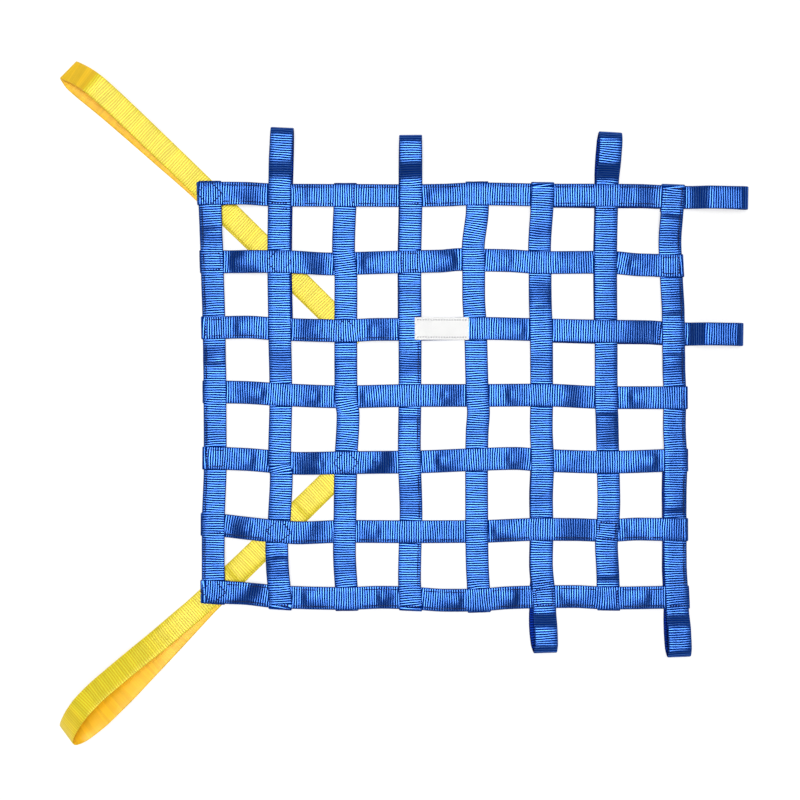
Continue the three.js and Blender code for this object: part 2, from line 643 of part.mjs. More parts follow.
// The label, which dips from the column at its left to the cross strap and follows that
function labelStations(strap) {
  const flats = flatsOf(strap);
  const heights = flats.map((_, k) => heightAtCrossing(strap, k, strap.name));
  const onPly = PLY_GAP + (WEB_THICK + LABEL.thick) / 2;
  const high = heightAtCrossing(columns[3], 2, "column_4") + onPly;
  const low = heights[3] + onPly;
  const dip = { from: flats[3].high, to: flats[3].high + 10 };
  const places = [LABEL.left, dip.from];
  for (const share of [0.25, 0.5, 0.75, 1]) places.push(dip.from + (dip.to - dip.from) * share);
  places.push(LABEL.right);
  return places.map((at) => {
    const dipped = high + (low - high) * smoothStep((at - dip.from) / (dip.to - dip.from));
    const followed = heightAlong(strap, flats, heights, at, true) + onPly;
    return { along: at, side: LABEL.y, z: at <= dip.to ? dipped : followed };
  });
}

function namedMesh(name, geometry, material) {
  const mesh = new THREE.Mesh(geometry, new THREE.MeshStandardMaterial(material));
  mesh.name = name;
  return mesh;
}

const net = new THREE.Group();
for (const strap of [...columns, ...rows]) {
  net.add(namedMesh(strap.name, ribbon(strap, strapStations(strap), WEB_WIDTH, WEB_THICK), BLUE));
}
for (const tether of TETHERS) {
  const frame = {
    origin: new THREE.Vector3(tether.at.x, tether.at.y, 0),
    axis: new THREE.Vector3(tether.heading.x, tether.heading.y, 0).normalize(),
    across: new THREE.Vector3(tether.side.x, tether.side.y, 0).normalize(),
  };
  net.add(namedMesh(tether.name, ribbon(frame, tetherStations(tether), WEB_WIDTH, WEB_THICK), YELLOW));
}
net.add(namedMesh("label", ribbon(rows[2], labelStations(rows[2]), LABEL.height, LABEL.thick), WHITE));

export default net;
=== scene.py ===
import math

import bpy
import numpy as np
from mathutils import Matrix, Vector


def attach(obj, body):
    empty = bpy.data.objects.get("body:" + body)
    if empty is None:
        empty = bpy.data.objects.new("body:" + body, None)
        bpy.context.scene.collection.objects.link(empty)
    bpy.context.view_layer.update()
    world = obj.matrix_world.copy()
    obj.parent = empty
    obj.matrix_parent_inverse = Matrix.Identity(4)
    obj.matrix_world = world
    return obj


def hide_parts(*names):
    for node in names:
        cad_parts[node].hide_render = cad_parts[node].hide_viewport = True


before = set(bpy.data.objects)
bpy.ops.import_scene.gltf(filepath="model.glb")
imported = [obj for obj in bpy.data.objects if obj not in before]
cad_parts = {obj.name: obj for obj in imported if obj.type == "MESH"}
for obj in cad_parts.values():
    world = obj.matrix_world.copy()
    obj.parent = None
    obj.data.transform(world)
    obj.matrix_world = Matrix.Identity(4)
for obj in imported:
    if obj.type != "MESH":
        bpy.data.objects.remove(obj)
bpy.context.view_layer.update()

# Window net of flat ribbed webbing, laid out flat on a surface. Sizes are millimetres until a
# mesh is made. +X is the net's right, +Y its top, and the surface is at z = 0.

MM = 0.001
UP = np.array([0.0, 0.0, 1.0])

# Webbing
WEB_WIDTH = 25.0
WEB_THICK = 1.3
PLY_GAP = 0.3
PLY_STEP = WEB_THICK + PLY_GAP
FINE_STEP = 0.2

# Ribs: their pitch, half the thickness at a crest, in a groove and where the webbing is plain, the
# power that makes crests blunt, how far they swell past the edge and from which share of the half
# width, and where a rib's rings lie along its pitch
BLUE_PITCH = 2.57
YELLOW_PITCH = 2.64
CREST_HALF = 0.67
GROOVE_HALF = 0.52
MIDDLE_HALF = 0.61
CREST_POWER = 0.4
SELVAGE_SWELL = 0.14
SELVAGE_FROM = 0.95
RIB_PHASES = [0.0, 0.15, 0.36, 0.64, 0.85]

# How far the ribs lean, bow and waver, in millimetres at a strap's edge, over which lengths, how
# far from a cut end they run straight across, and the first seeds of the straps
RIB_LEAN = 0.55
RIB_BOW = 0.5
RIB_WAVER = 0.13
SLOW_LENGTHS = (151, 83, 47, 29)
SLOW_SUM = 2.2
WAVER_LENGTH = 13.7
WAVER_ACROSS = 4.1
STRAIGHT_AT_END = 8
NET_SEED = 1
TETHER_SEED = 40

# The cross-section's points, as shares of the half width and of the half thickness
TOP_SHARES = [(-0.985, 0.6), (-0.91, 1), (-0.5, 1), (0, 1), (0.5, 1), (0.91, 1), (0.985, 0.6)]
UNDER_SHARES = [(0.985, -0.6), (0.91, -1), (0.35, -1), (-0.35, -1), (-0.91, -1), (-0.985, -0.6)]

# Middle of the whole outline, seen from the middle of the net's drawing
OUTLINE_MIDDLE = np.array([0.8, 1.0, 0.0])

# How a strap lies where it crosses another, and how far it is held up next to a tether's crossing
FLAT_HALF = 14.0
RETURN_REACH = 16.5
RETURN_FLAT = 17.5
FOLD_REACH = WEB_WIDTH / 2 + PLY_GAP + WEB_THICK
FOLD_CORNER = 1.0
FOLD_TURNS = (0, 18, 36, 54, 72, 90)
LEAST_DROP = 0.05
BORDER_REACH = 9.0
UNDER_MARGIN = 1.0
HELD_UP = 1.3
PLACE_STEP = 2.0

# Open loops. Their hidden ply lies on the surface up to LANDED, is half way up at LIFTED and ends
# HELD_PAST behind the middle of the crossing with the number HELD_BY.
LOOP_TOP = 12.0
LOOP_STEPS = 8
NOSE_LENGTH = 9.0
NOSE_STEPS = 16
LEAST_RUN = 2
# Over this run the inner faces of a loop turn plain and take a painted shade.
LOOP_PLAIN_SHADE_RUN = 6
LANDED = 26
LIFTED = 20
LANDED_STEPS = 8
HELD_BY = 3
HELD_PAST = 10.0
SHIFT_REACH = 20.0

# Tethers: where they are crossed, half of the length that a crossing covers, and where along them
# their faces turn plain and take a painted shade
TETHER_NOSE_STEPS = 8
TETHER_CROSSED = (0.0, 103.0, 206.0)
TETHER_COVERED = 19
PLAIN_SHADE_PAST = 190.0
PLAIN_SHADE_RUN = 40
PLAIN_SHADE_SHARE = 0.9
TIP_PLAIN_SHADE_RUN = 5

# Creases: the length of their steep place, and how far they reach across a strap, as shares of
# its half width
CREASE_LENGTH = 8.0
COLUMN_CREASE_REACH = 2.2
ROW_CREASE_REACH = 0.85
TETHER_CREASE_REACH = 2.0

# Soft waves that all plies share where they lie over each other
WAVE_SEED = 7
WAVE_COUNT = 9
WAVE_HEIGHT = 0.05
WAVE_LENGTHS = (24.0, 52.0)

# Label: its place, and its cross-section's points as shares, with a folded edge on both sides
LABEL = {"column": 4, "row": 3, "left": 12.8, "right": 71.9, "y": 81.4, "height": 24.8, "thick": 1.0}
LABEL_DIP = 10
LABEL_STATIONS = 60
LABEL_RINGS = 121
LABEL_SEAM = 9.4
LABEL_SEAM_END = 2
LABEL_SURFACE = 0.42
LABEL_SHARES = [
    (-0.97, 0.95), (-0.93, 0.96), (-0.86, 0.8), (-0.4, 0.84), (0, 0.84), (0.4, 0.84), (0.86, 0.8),
    (0.93, 0.96), (0.97, 0.95),
]

# Sewing. A stitch's rings are places along it as shares of its length, rises in millimetres and
# girths as shares of its radius.
STITCH_LENGTH = 2.5
STITCH_PITCH = 2.8
STITCH_RADIUS = 0.58
STITCH_SIDES = 6
STITCH_RINGS = [(-0.5, -0.5, 0.3), (-0.42, 0.05, 0.8), (0, 0.15, 1.0), (0.42, 0.05, 0.8), (0.5, -0.5, 0.3)]
SEAM_INSET = 3.6
SEAM_EDGE = 0.6
DIAMOND_HALF = 13.7
RETURN_SEAM = 15.0

# Seams along the edges: the strap, the crossings that they run between and the sides that they are on
EDGE_SEAMS = [
    {"strap": "row_1", "from": 1, "to": 8, "sides": [-1, 1]},
    {"strap": "row_3", "from": 1, "to": 4, "sides": [-1]},
    {"strap": "row_6", "from": 1, "to": 8, "sides": [-1]},
    {"strap": "row_7", "from": 1, "to": 8, "sides": [-1, 1]},
    {"strap": "column_1", "from": 1, "to": 7, "sides": [-1]},
    {"strap": "column_4", "from": 3, "to": 7, "sides": [1]},
    {"strap": "column_8", "from": 1, "to": 7, "sides": [1]},
]

# Crossings that are sewn with a box, each the number of its column and of its row
BOXED_CROSSINGS = [(4, 2), (7, 6), (8, 1), (8, 2), (1, 2), (1, 3), (1, 5), (6, 7)]

# Yarns and fibres of the webbing: how many yarns lie side by side, the scales of the noises, how
# much yarns, fibres, clouds and single ribs change the colour, the least that is left of it, the
# gain of the crests' shine, and the fine relief
YARNS = 29.0
FIBRE_SCALE = 2600.0
CLOUD_SCALE = 34.0
YARN_SHADE = 0.25
FIBRE_SHADE = 0.12
CLOUD_SHADE = 0.3
RIB_SHADE = 0.18
LEAST_SHADE = 0.7
SHINE_GAIN = 1.2
FIBRE_RELIEF = 0.35
RELIEF = 0.00005

# Soft lights overhead: how far each leans to the right and to the top, in degrees, and its energy
KEYS = [
    {"name": "key_near", "x_lean": 0.0, "y_lean": -12.0, "energy": 0.55},
    {"name": "key", "x_lean": 0.0, "y_lean": 3.0, "energy": 0.85},
    {"name": "key_far", "x_lean": 0.0, "y_lean": 18.0, "energy": 0.55},
    {"name": "key_left", "x_lean": -13.0, "y_lean": 3.0, "energy": 0.3},
    {"name": "key_right", "x_lean": 13.0, "y_lean": 3.0, "energy": 0.3},
]
KEY_ANGLE = 27.0
KEY_HEIGHT = 3.0

# Pale walls under a dim ceiling. A direction's height is 0 where it is level and 1 straight up.
WALL_GLOW = 0.6
WALL_TOP = 0.55
CEILING_GLOW = 0.03
CEILING_FROM = 0.68

# Floor and camera
FLOOR_GLOW = 0.6
FLOOR_HALF = 8000
FLOOR_DROP = 0.5
CAMERA_PLACE = (-0.0041, 0.0023, 1.6)
CAMERA_LENS = 65.69
SENSOR_WIDTH = 36

# Straps down the net, from its top end. drift is the sideways place at rows 1 to 7, from x.
# creases are, by the number of the gap, where the strap is creased, from the gap's middle, and how
# steep that is. sway adds places between the rows: how far down from the net's middle, and the
# sideways place there.
COLUMNS = [
    {"name": "column_1", "x": -208, "drift": [-3, -0.6, 1.1, 2.4, 2.4, 0.6, 1.1],
     "creases": {1: (1, 0.3), 3: (4, 0.32), 6: (0, 0.1)}, "sway": []},
    {"name": "column_2", "x": -136, "drift": [1, 0.3, 1.3, 2.1, 0.9, 0.1, 1.7],
     "creases": {6: (-7, 0.46)},
     "sway": [(78.9, 2.9), (122.8, 0.9), (155.6, -2.1), (177.6, -1.3)]},
    {"name": "column_3", "x": -64, "drift": [0.9, 0.3, 1.4, 1.6, 1.5, 0.3, 2.6],
     "creases": {3: (-5, 0.24)},
     "sway": [(-167.7, -1.1), (-134.8, 1.6), (13.2, 3.9), (161.1, -0.1)]},
    {"name": "column_4", "x": 8, "drift": [0.7, -0.5, -0.3, -0.4, -0.8, 0.3, 0.2],
     "creases": {4: (-12, 0.2)},
     "sway": [(46, -1.1), (122.8, 0.8), (194, -0.9)]},
    {"name": "column_5", "x": 80, "drift": [1, -2.7, -0.5, 1.4, 0.6, 0.7, 3.3],
     "creases": {},
     "sway": [(-214.8, 1.5), (-167.7, -3.2), (-117, -2.6), (9.9, 2.6), (32, 1.2), (176, 1.3)]},
    {"name": "column_6", "x": 152, "drift": [0.7, -1.7, -0.9, 0, 0.7, 0.1, 2.4],
     "creases": {2: (12, 0.3)},
     "sway": [(-167.7, -2.4), (-117, -1.9), (29.7, -0.7), (103, -0.5), (176, -0.6)]},
    {"name": "column_7", "x": 224, "drift": [-1, -2.4, -2, -1.4, 0.7, -0.2, 1.2],
     "creases": {4: (-17, 0.46), 6: (17, 0.28)},
     "sway": [(106.3, 1.4), (155.6, -1.3), (178, -0.3)]},
    {"name": "column_8", "x": 296, "drift": [-0.5, -2.9, -0.2, 1.6, 2, 1.7, 3.4],
     "creases": {1: (-17, 0.34), 2: (15, 0.32), 3: (-12, 0.34), 5: (17, 0.25)},
     "sway": [(-178.7, -4), (-44, 0.1), (29.7, 0.8), (103, 1.3), (176, 1.6)]},
]

# Straps across the net, from its left end. drift is the place up or down at columns 1 to 8, from y,
# and sway is how far right from the net's middle, and the place up or down there.
ROWS = [
    {"name": "row_1", "y": 227, "drift": [1.6, 0.4, 0, 0, 1.7, 0.5, 0, -1.8],
     "creases": {2: (-7, 0.2), 4: (-17, 0.3), 7: (-7, 0.12)},
     "sway": [(-172, 1.9), (44, 0.4), (260, -0.2)]},
    {"name": "row_2", "y": 153.7, "drift": [0.8, 0.7, -1.1, 0.8, 3, 0, 0.4, -3.5],
     "creases": {
         1: (-17, 0.46), 2: (11, 0.05), 3: (-16, 0.34), 4: (14, 0.42),
         5: (4, 0.3), 6: (-17, 0.28), 7: (-10, 0.46),
     },
     "sway": [(-77.8, -1.5), (40, 1.6), (62.5, 3.5), (116, 2.2), (259.8, -2.6)]},
    {"name": "row_3", "y": 80.3, "drift": [1.9, 0.5, -1.4, 0.3, 1.4, -0.2, -1.9, -4.3],
     "creases": {1: (-11, 0.32), 2: (9, 0.3), 3: (-10, 0.36), 5: (17, 0.3), 7: (17, 0.12)},
     "sway": [(-172, 2.7), (-28, 0.1), (268, -2.3)]},
    {"name": "row_4", "y": 7, "drift": [5.3, 2.3, -0.2, 1.2, 1.3, 1.7, -1.1, -1.2],
     "creases": {
         1: (17, 0.46), 2: (6, 0.44), 3: (-17, 0.34), 4: (-2, 0.46),
         5: (-2, 0.46), 6: (-15, 0.28), 7: (-11, 0.4),
     },
     "sway": [(-172, 4.5)]},
    {"name": "row_5", "y": -66.3, "drift": [6.1, 1.6, 1.1, 1.7, 4.4, 3.6, 1.6, 3.8],
     "creases": {
         1: (7, 0.32), 2: (11, 0.46), 3: (-12, 0.4), 4: (-6, 0.46),
         5: (-2, 0.42), 6: (-17, 0.14), 7: (17, 0.44),
     },
     "sway": [(-172, 4.6), (-112.9, 0.2), (122.8, 5.6)]},
    {"name": "row_6", "y": -139.7, "drift": [7, -0.6, -0.9, -1.2, -1.1, 1.6, -0.1, 1.3],
     "creases": {1: (5, 0.46), 3: (1, 0.3), 5: (-17, 0.36), 7: (-17, 0.22)},
     "sway": [(-112.9, -2.2), (188, 1.2), (260, 1.8)]},
    {"name": "row_7", "y": -213, "drift": [7.4, 0.9, -0.7, -0.5, -2.5, 0.8, -0.3, 0.7],
     "creases": {2: (-10, 0.34), 3: (0, 0.46), 4: (17, 0.44), 5: (5, 0.46), 6: (-17, 0.3), 7: (6, 0.32)},
     "sway": [(-172, 5.1), (-25.2, 0.4), (46, -2.8), (116, 0), (188, 1.2)]},
]

# Open loops past a border strap. reach is from that strap's middle to the tip, rise is where the
# front ply is half way up and lean is how far the tip goes sideways. back is how far the hidden ply
# lies to one side of the front one: inside the net, at the border, half way out and at the tip.
LOOPS = [
    {"strap": "column_2", "end": "start", "reach": 73.4, "rise": 28, "lean": 3.2,
     "back": (1.8, 1.8, 1.2, 0)},
    {"strap": "column_4", "end": "start", "reach": 65.7, "rise": 27, "lean": -0.4,
     "back": (-1, -1, -0.8, 0)},
    {"strap": "column_7", "end": "start", "reach": 68.9, "rise": 26, "lean": 3.9,
     "back": (-0.7, -1.5, -2, -1)},
    {"strap": "row_1", "end": "finish", "reach": 81.4, "rise": 28, "lean": -1.9,
     "back": (-1.1, 0, 1.4, 0.6)},
    {"strap": "row_3", "end": "finish", "reach": 75.7, "rise": 25, "lean": -1.3,
     "back": (-1.3, -0.5, 0.4, 0)},
    {"strap": "column_6", "end": "finish", "reach": 60.7, "rise": 25, "lean": 2,
     "back": (-0.8, -4.2, -4.8, -2)},
    {"strap": "column_8", "end": "finish", "reach": 65, "rise": 25, "lean": 2.7,
     "back": (-1.6, -2, -2.8, -1.5)},
]

# Folded tethers. at is the point under the inner crossing, heading points out past the corner, and
# side is positive on the side given. spread is the band that the two plies cover under the net, and
# crossings are the numbers of the columns and rows above. From crest_at on, the outer face bends
# down to the tip, where a share says how plain it is and how much painted shade it takes. Each row
# of a ply is a place on the middle of the webbing: along the heading from at, to the side, its height
# and its tilt in degrees, which lifts the side edge.
TETHERS = [
    {
        "name": "tether_upper", "at": (-61.5, 80), "heading": (-0.71, 0.704), "side": (-0.704, -0.71),
        "spread": (-13, 16.5), "crossings": [(1, 1), (2, 2), (3, 3)],
        "crest_at": 386, "plain_shade_at_tip": 0.75, "creases": {},
        "front": [
            (-19, 0, 2.25, 0), (60, -0.2, 2.25, 0), (140, 0, 2.25, 0), (236, 0.5, 2.25, 0),
            (260, 0.8, 3.8, 0), (290, 1.3, 7.5, 1), (330, 2, 13.2, 2), (360, 2.9, 17, 2),
            (374, 3.6, 18.4, 1.5), (380, 4.1, 18.7, 1), (384, 4.6, 18.3, 1), (388, 5.1, 17, 0.5),
            (394, 6.1, 14.3, 0), (401, 7.7, 11.2, 0), (408, 9.7, 8.1, 0),
        ],
        "round_nose": {"along": 414.2, "radius": 2.2, "first": 24, "sides": (11.9, 13.5)},
        "back": [
            (410, 14.6, 0.65, 0), (403, 15.7, 0.65, 0), (390, 15, 0.65, 0), (376, 13.6, 0.65, 0),
            (354, 11.6, 0.65, 0), (280, 6.6, 0.65, 0), (222, 3.2, 0.65, 0), (140, 1.8, 0.65, 0),
            (60, 1, 0.65, 0), (-17, 0.5, 0.65, 0),
        ],
    },
    {
        "name": "tether_lower", "at": (-60.9, -66.9), "heading": (-0.718, -0.696), "side": (0.696, -0.718),
        "spread": (-14.5, 16.5), "crossings": [(1, 7), (2, 6), (3, 5)],
        "crest_at": 394, "plain_shade_at_tip": 0.25, "creases": {1: (20, 0.2), 2: (20, 0.2)},
        "front": [
            (-19, 0, 2.25, 0), (60, 0, 2.25, 0), (140, -0.3, 2.25, 0), (226, -1.7, 2.25, 0),
            (250, -3.3, 4.8, 5), (281, -5.6, 10.5, 12), (309, -8.3, 17, 17), (340, -10.9, 24, 20),
            (368, -12.4, 29, 20), (385, -11.8, 30, 20), (400, -9.5, 27, 21), (408, -7.6, 24, 21.5),
            (414.5, -5.7, 20.6, 22),
        ],
        "nose": [
            (420, -3.6, 16.5, 22), (422.8, -1.7, 13.6, 22), (423.6, 0.4, 10.9, 21.5), (422.3, 2.6, 8.4, 20),
            (419.4, 4.5, 6.3, 18.5),
        ],
        "back": [
            (413, 6.7, 4.6, 16.5), (403, 8.3, 3.8, 14), (382, 9.9, 3.3, 12), (354, 9.7, 2.9, 10),
            (317, 8.1, 2.4, 8), (274, 6, 1.6, 4), (240, 4.1, 0.95, 1), (216, 2.9, 0.65, 0),
            (140, 1.8, 0.65, 0), (60, 1.4, 0.65, 0), (-17, 0.5, 0.65, 0),
        ],
    },
]

# Curves
def smooth_step(share):
    t = np.clip(share, 0, 1)
    return t * t * (3 - 2 * t)


def through_knots(at_knots, by_knots, at):
    """A curve through knots with no overshoot between them, and straight past its ends."""
    x = np.asarray(at_knots, float)
    y = np.asarray(by_knots, float)
    rise = np.diff(y) / np.diff(x)
    before, after = rise[:-1], rise[1:]
    same = before * after > 0
    knee = np.where(same, 2 * before * after / np.where(same, before + after, 1), 0)
    slope = np.concatenate([rise[:1], knee, rise[-1:]])
    k = np.clip(np.searchsorted(x, at, side="right") - 1, 0, len(x) - 2)
    width = x[k + 1] - x[k]
    t = (at - x[k]) / width
    inside = np.clip(t, 0, 1)
    blend = smooth_step(inside)
    lift = inside * (1 - inside) ** 2 * slope[k] * width
    drop = inside**2 * (inside - 1) * slope[k + 1] * width
    past = (t - inside) * width * np.where(t < 0, rise[0], rise[-1])
    return y[k] * (1 - blend) + y[k + 1] * blend + lift + drop + past


def unit(vectors):
    return vectors / np.linalg.norm(vectors, axis=-1, keepdims=True)


def flat_vector(pair):
    return np.array([*pair, 0.0])


# Straps and where they cross
class Strap:
    """A strap of the net. A place along it is measured down a column and from left to right on a row."""

    def __init__(self, source, number, is_column):
        self.name = source["name"]
        self.number = number
        self.is_column = is_column
        self.creases = source["creases"]
        self.count = len(source["drift"])
        place = source["x"] if is_column else source["y"]
        self.nominal = place if is_column else -place
        self.axis = np.array([0.0, -1.0, 0.0]) if is_column else np.array([1.0, 0.0, 0.0])
        self.across = np.array([1.0, 0.0, 0.0]) if is_column else np.array([0.0, 1.0, 0.0])
        crossed = [-row["y"] for row in ROWS] if is_column else [column["x"] for column in COLUMNS]
        knots = [(at, place + drift) for at, drift in zip(crossed, source["drift"])]
        border = {"start": knots[0], "finish": knots[-1]}
        self.loops = {loop["end"]: loop for loop in LOOPS if loop["strap"] == self.name}
        sways = [(at, place + by) for at, by in source["sway"]]
        tips = []
        for end, loop in self.loops.items():
            sign = -1 if end == "start" else 1
            tips.append((border[end][0] + sign * loop["reach"], border[end][1] + loop["lean"]))
        self.knots = sorted(knots + sways + tips)

    def side_at(self, at):
        return through_knots(*zip(*self.knots), at)


columns = [Strap(column, k + 1, True) for k, column in enumerate(COLUMNS)]
rows = [Strap(row, k + 1, False) for k, row in enumerate(ROWS)]


def crossed_by(strap, k):
    return rows[k] if strap.is_column else columns[k]


def column_and_row(strap, k):
    return (strap, rows[k]) if strap.is_column else (columns[k], strap)


def crossing_at(strap, k):
    place = crossed_by(strap, k).side_at(strap.nominal)
    return -place if strap.is_column else place


def slope_of_crossed(strap, k):
    crossed = crossed_by(strap, k)
    ahead = crossed.side_at(strap.nominal + WEB_WIDTH / 2)
    return (ahead - crossed.side_at(strap.nominal - WEB_WIDTH / 2)) / WEB_WIDTH


def tethers_below(column, row):
    return [tether for tether in TETHERS if (column.number, row.number) in tether["crossings"]]


def is_beside_tether(column, row):
    return any(
        abs(crossed_column - column.number) + abs(crossed_row - row.number) == 1
        for tether in TETHERS
        for crossed_column, crossed_row in tether["crossings"]
    )


def is_row_on_top(column, row):
    return (column.number + row.number) % 2 == 0


def back_lies_at(strap, k):
    """Does the ply that turns back lie at this crossing of the strap?"""
    held = {end: HELD_BY if end in strap.loops else 1 for end in ("start", "finish")}
    return k < held["start"] or k >= strap.count - held["finish"]


def stack_at(column, row):
    """The plies at a crossing, from the surface up."""
    stack = []
    for tether in tethers_below(column, row):
        stack += [(tether["name"], "back"), (tether["name"], "front")]
    upper, lower = (row, column) if is_row_on_top(column, row) else (column, row)
    for strap in (upper, lower):
        order = (row.number if strap is column else column.number) - 1
        if back_lies_at(strap, order):
            stack.append((strap.name, "back"))
    return stack + [(lower.name, "front"), (upper.name, "front")]


def ply_height(level):
    return WEB_THICK / 2 + level * PLY_STEP


def height_at_crossing(strap, k, ply):
    """The height of a ply's middle. A strap is held up a little beside a crossing with a tether below."""
    column, row = column_and_row(strap, k)
    held_up = HELD_UP if is_beside_tether(column, row) else 0
    return ply_height(stack_at(column, row).index((strap.name, ply))) + held_up


def flats_of(strap):
    """The level stretches of a strap's middle line, one at each crossing. Over a tether, lean is how
    much further along a line lies level for each millimetre that it is to the side."""
    flats = []
    for k in range(strap.count):
        middle = crossing_at(strap, k)
        low = middle - (RETURN_FLAT if k == strap.count - 1 else FLAT_HALF)
        high = middle + (RETURN_FLAT if k == 0 else FLAT_HALF)
        lean = 0.0
        for tether in tethers_below(*column_and_row(strap, k)):
            side = flat_vector(tether["side"])
            lean = -(strap.across @ side) / (strap.axis @ side)
            on_middle = strap.across * strap.side_at(middle) - flat_vector(tether["at"])
            for border in tether["spread"]:
                end = (border - on_middle @ side) / (strap.axis @ side)
                low = min(low, end - UNDER_MARGIN)
                high = max(high, end + UNDER_MARGIN)
        flats.append({"middle": middle, "low": low, "high": high, "lean": lean})
    return flats


def height_along(flats, heights, at):
    """Height of a ply's middle, level at the flats and changing gently between them."""
    height = np.full_like(at, heights[0])
    for k, change in enumerate(np.diff(heights)):
        start, end = flats[k]["high"], flats[k + 1]["low"]
        height += change * smooth_step((at - start) / (end - start))
    return height


# Stations are rows of along, side, z, tilt in degrees, fold slope and 1 where the ring follows it
def station(along, side, z, tilt=0.0, fold=None):
    return [along, side, z, tilt, fold or 0.0, 0.0 if fold is None else 1.0]


def close_fold(edge, sign, side, top, bottom, fold):
    """A close fold: out, down round two corners and back."""
    corner = min(FOLD_CORNER, (top - bottom) / 2)
    outer = edge + sign * (FOLD_REACH - WEB_THICK / 2 - corner)
    bend = []
    for centre, first in ((top - corner, 90), (bottom + corner, 0)):
        for turned in FOLD_TURNS:
            angle = math.radians(first - turned)
            z = centre + corner * math.sin(angle)
            if turned == 0 and bend and abs(bend[-1][2] - z) < LEAST_DROP:
                continue
            bend.append(station(outer + sign * corner * math.cos(angle), side, z, fold=fold))
    return bend


def open_loop(strap, loop, border, sign, front_height, back_height):
    """The front ply past the border, the nose of the loop and the back ply to the border."""
    floor = ply_height(0)
    reach = loop["reach"]
    _, at_border, half_way, at_tip = loop["back"]
    nose_at = reach - WEB_THICK / 2 - NOSE_LENGTH

    def lean(out):
        return strap.side_at(border + sign * out)

    def shift(out):
        share = max(0.0, (out - FLAT_HALF) / (reach - FLAT_HALF))
        ends = at_border * (1 - share) * (1 - 2 * share) + at_tip * share * (2 * share - 1)
        return ends + half_way * 4 * share * (1 - share)

    stations = []
    crest = min(2 * loop["rise"] - FLAT_HALF, nose_at)
    for share in np.linspace(0, 1, LOOP_STEPS + 1)[1:]:
        out = FLAT_HALF + (crest - FLAT_HALF) * share
        z = front_height + (LOOP_TOP - front_height) * smooth_step(share)
        stations.append(station(border + sign * out, lean(out), z))
    if nose_at - crest > LEAST_RUN:
        stations.append(station(border + sign * nose_at, lean(nose_at), LOOP_TOP))
    half = (LOOP_TOP - floor) / 2
    fold = (lean(reach) - lean(nose_at)) / (sign * (reach - nose_at))
    for share in np.linspace(0, 1, NOSE_STEPS + 1)[1:-1]:
        out = nose_at + NOSE_LENGTH * math.sin(math.pi * share)
        z = floor + half * (1 + math.cos(math.pi * share))
        stations.append(station(border + sign * out, lean(out) + shift(out) * share, z, fold=fold))
    for share in np.linspace(1, 0, LANDED_STEPS + 1):
        out = LANDED + (nose_at - LANDED) * share
        stations.append(station(border + sign * out, lean(out) + shift(out), floor))
    for out, z in ((LIFTED, (floor + back_height) / 2), (FLAT_HALF, back_height)):
        stations.append(station(border + sign * out, lean(out) + shift(out), z))
    return stations


def end_stations(strap, flats, end):
    """All stations of one end of a strap, from the front ply's last crossing out and back to the cut."""
    k = 0 if end == "start" else strap.count - 1
    sign = -1 if end == "start" else 1
    border = flats[k]["middle"]
    front_height = height_at_crossing(strap, k, "front")
    back_height = height_at_crossing(strap, k, "back")
    loop = strap.loops.get(end)
    if loop is None:
        past = border - sign * RETURN_REACH
        slope = slope_of_crossed(strap, k)
        bend = close_fold(border, sign, strap.side_at(border), front_height, back_height, slope)
        return bend + [station(past, strap.side_at(past), back_height)]
    opened = open_loop(strap, loop, border, sign, front_height, back_height)
    last_held = flats[HELD_BY - 1 if end == "start" else strap.count - HELD_BY]
    cut = last_held["middle"] - sign * HELD_PAST
    places = np.linspace(border, cut, int(abs(cut - border) / PLACE_STEP) + 1)
    heights = [
        height_at_crossing(strap, i, "back") if back_lies_at(strap, i) else 0
        for i in range(strap.count)
    ]
    inside, at_border, _, _ = loop["back"]
    shift = at_border + (inside - at_border) * smooth_step(np.abs(places - border) / SHIFT_REACH)
    inner = zip(places, shift, height_along(flats, heights, places))
    return opened + [station(at, strap.side_at(at) + aside, z) for at, aside, z in inner]


def strap_stations(strap):
    """All stations of a strap, from one cut end to the other, and which of them are its front ply."""
    flats = flats_of(strap)
    heights = [height_at_crossing(strap, k, "front") for k in range(strap.count)]
    start = flats[0]["middle"] - (FLAT_HALF if "start" in strap.loops else BORDER_REACH)
    end = flats[-1]["middle"] + (FLAT_HALF if "finish" in strap.loops else BORDER_REACH)
    places = np.linspace(start, end, int((end - start) / PLACE_STEP) + 1)
    height = height_along(flats, heights, places)
    front = [station(at, strap.side_at(at), z) for at, z in zip(places, height)]
    before = end_stations(strap, flats, "start")[::-1]
    after = end_stations(strap, flats, "finish")
    return before + front + after, (len(before), len(before) + len(front) - 1)


def round_nose(along, radius, first, sides):
    """The round nose of a fold that comes to rest on the surface, from an angle from its top."""
    nose = []
    for share in np.linspace(0, 1, TETHER_NOSE_STEPS):
        angle = math.radians(first + (180 - first) * share)
        side = sides[0] + (sides[1] - sides[0]) * share
        z = ply_height(0) + radius * (1 + math.cos(angle))
        nose.append((along + radius * math.sin(angle), side, z, 0))
    return nose


def tether_stations(tether):
    """All stations of a tether, from one cut end to the other, and which of them are its front ply."""
    nose = tether["nose"] if "nose" in tether else round_nose(**tether["round_nose"])
    front, back = ([station(*row) for row in tether[ply]] for ply in ("front", "back"))
    return front + [station(*row, fold=0) for row in nose] + back, (0, len(front) - 1)


def label_stations():
    """The label dips from the column at its left to the cross strap, and follows that."""
    over, on = LABEL["column"] - 1, LABEL["row"] - 1
    strap = rows[on]
    flats = flats_of(strap)
    heights = [height_at_crossing(strap, k, "front") for k in range(strap.count)]
    on_ply = PLY_GAP + (WEB_THICK + LABEL["thick"]) / 2
    high = height_at_crossing(columns[over], on, "front") + on_ply
    low = heights[over] + on_ply
    start = flats[over]["high"]
    places = np.linspace(LABEL["left"], LABEL["right"], LABEL_STATIONS)
    followed = height_along(flats, heights, places) + on_ply
    dipped = high + (low - high) * smooth_step((places - start) / LABEL_DIP)
    height = np.where(places <= start + LABEL_DIP, dipped, followed)
    return [station(at, LABEL["y"], z) for at, z in zip(places, height)]


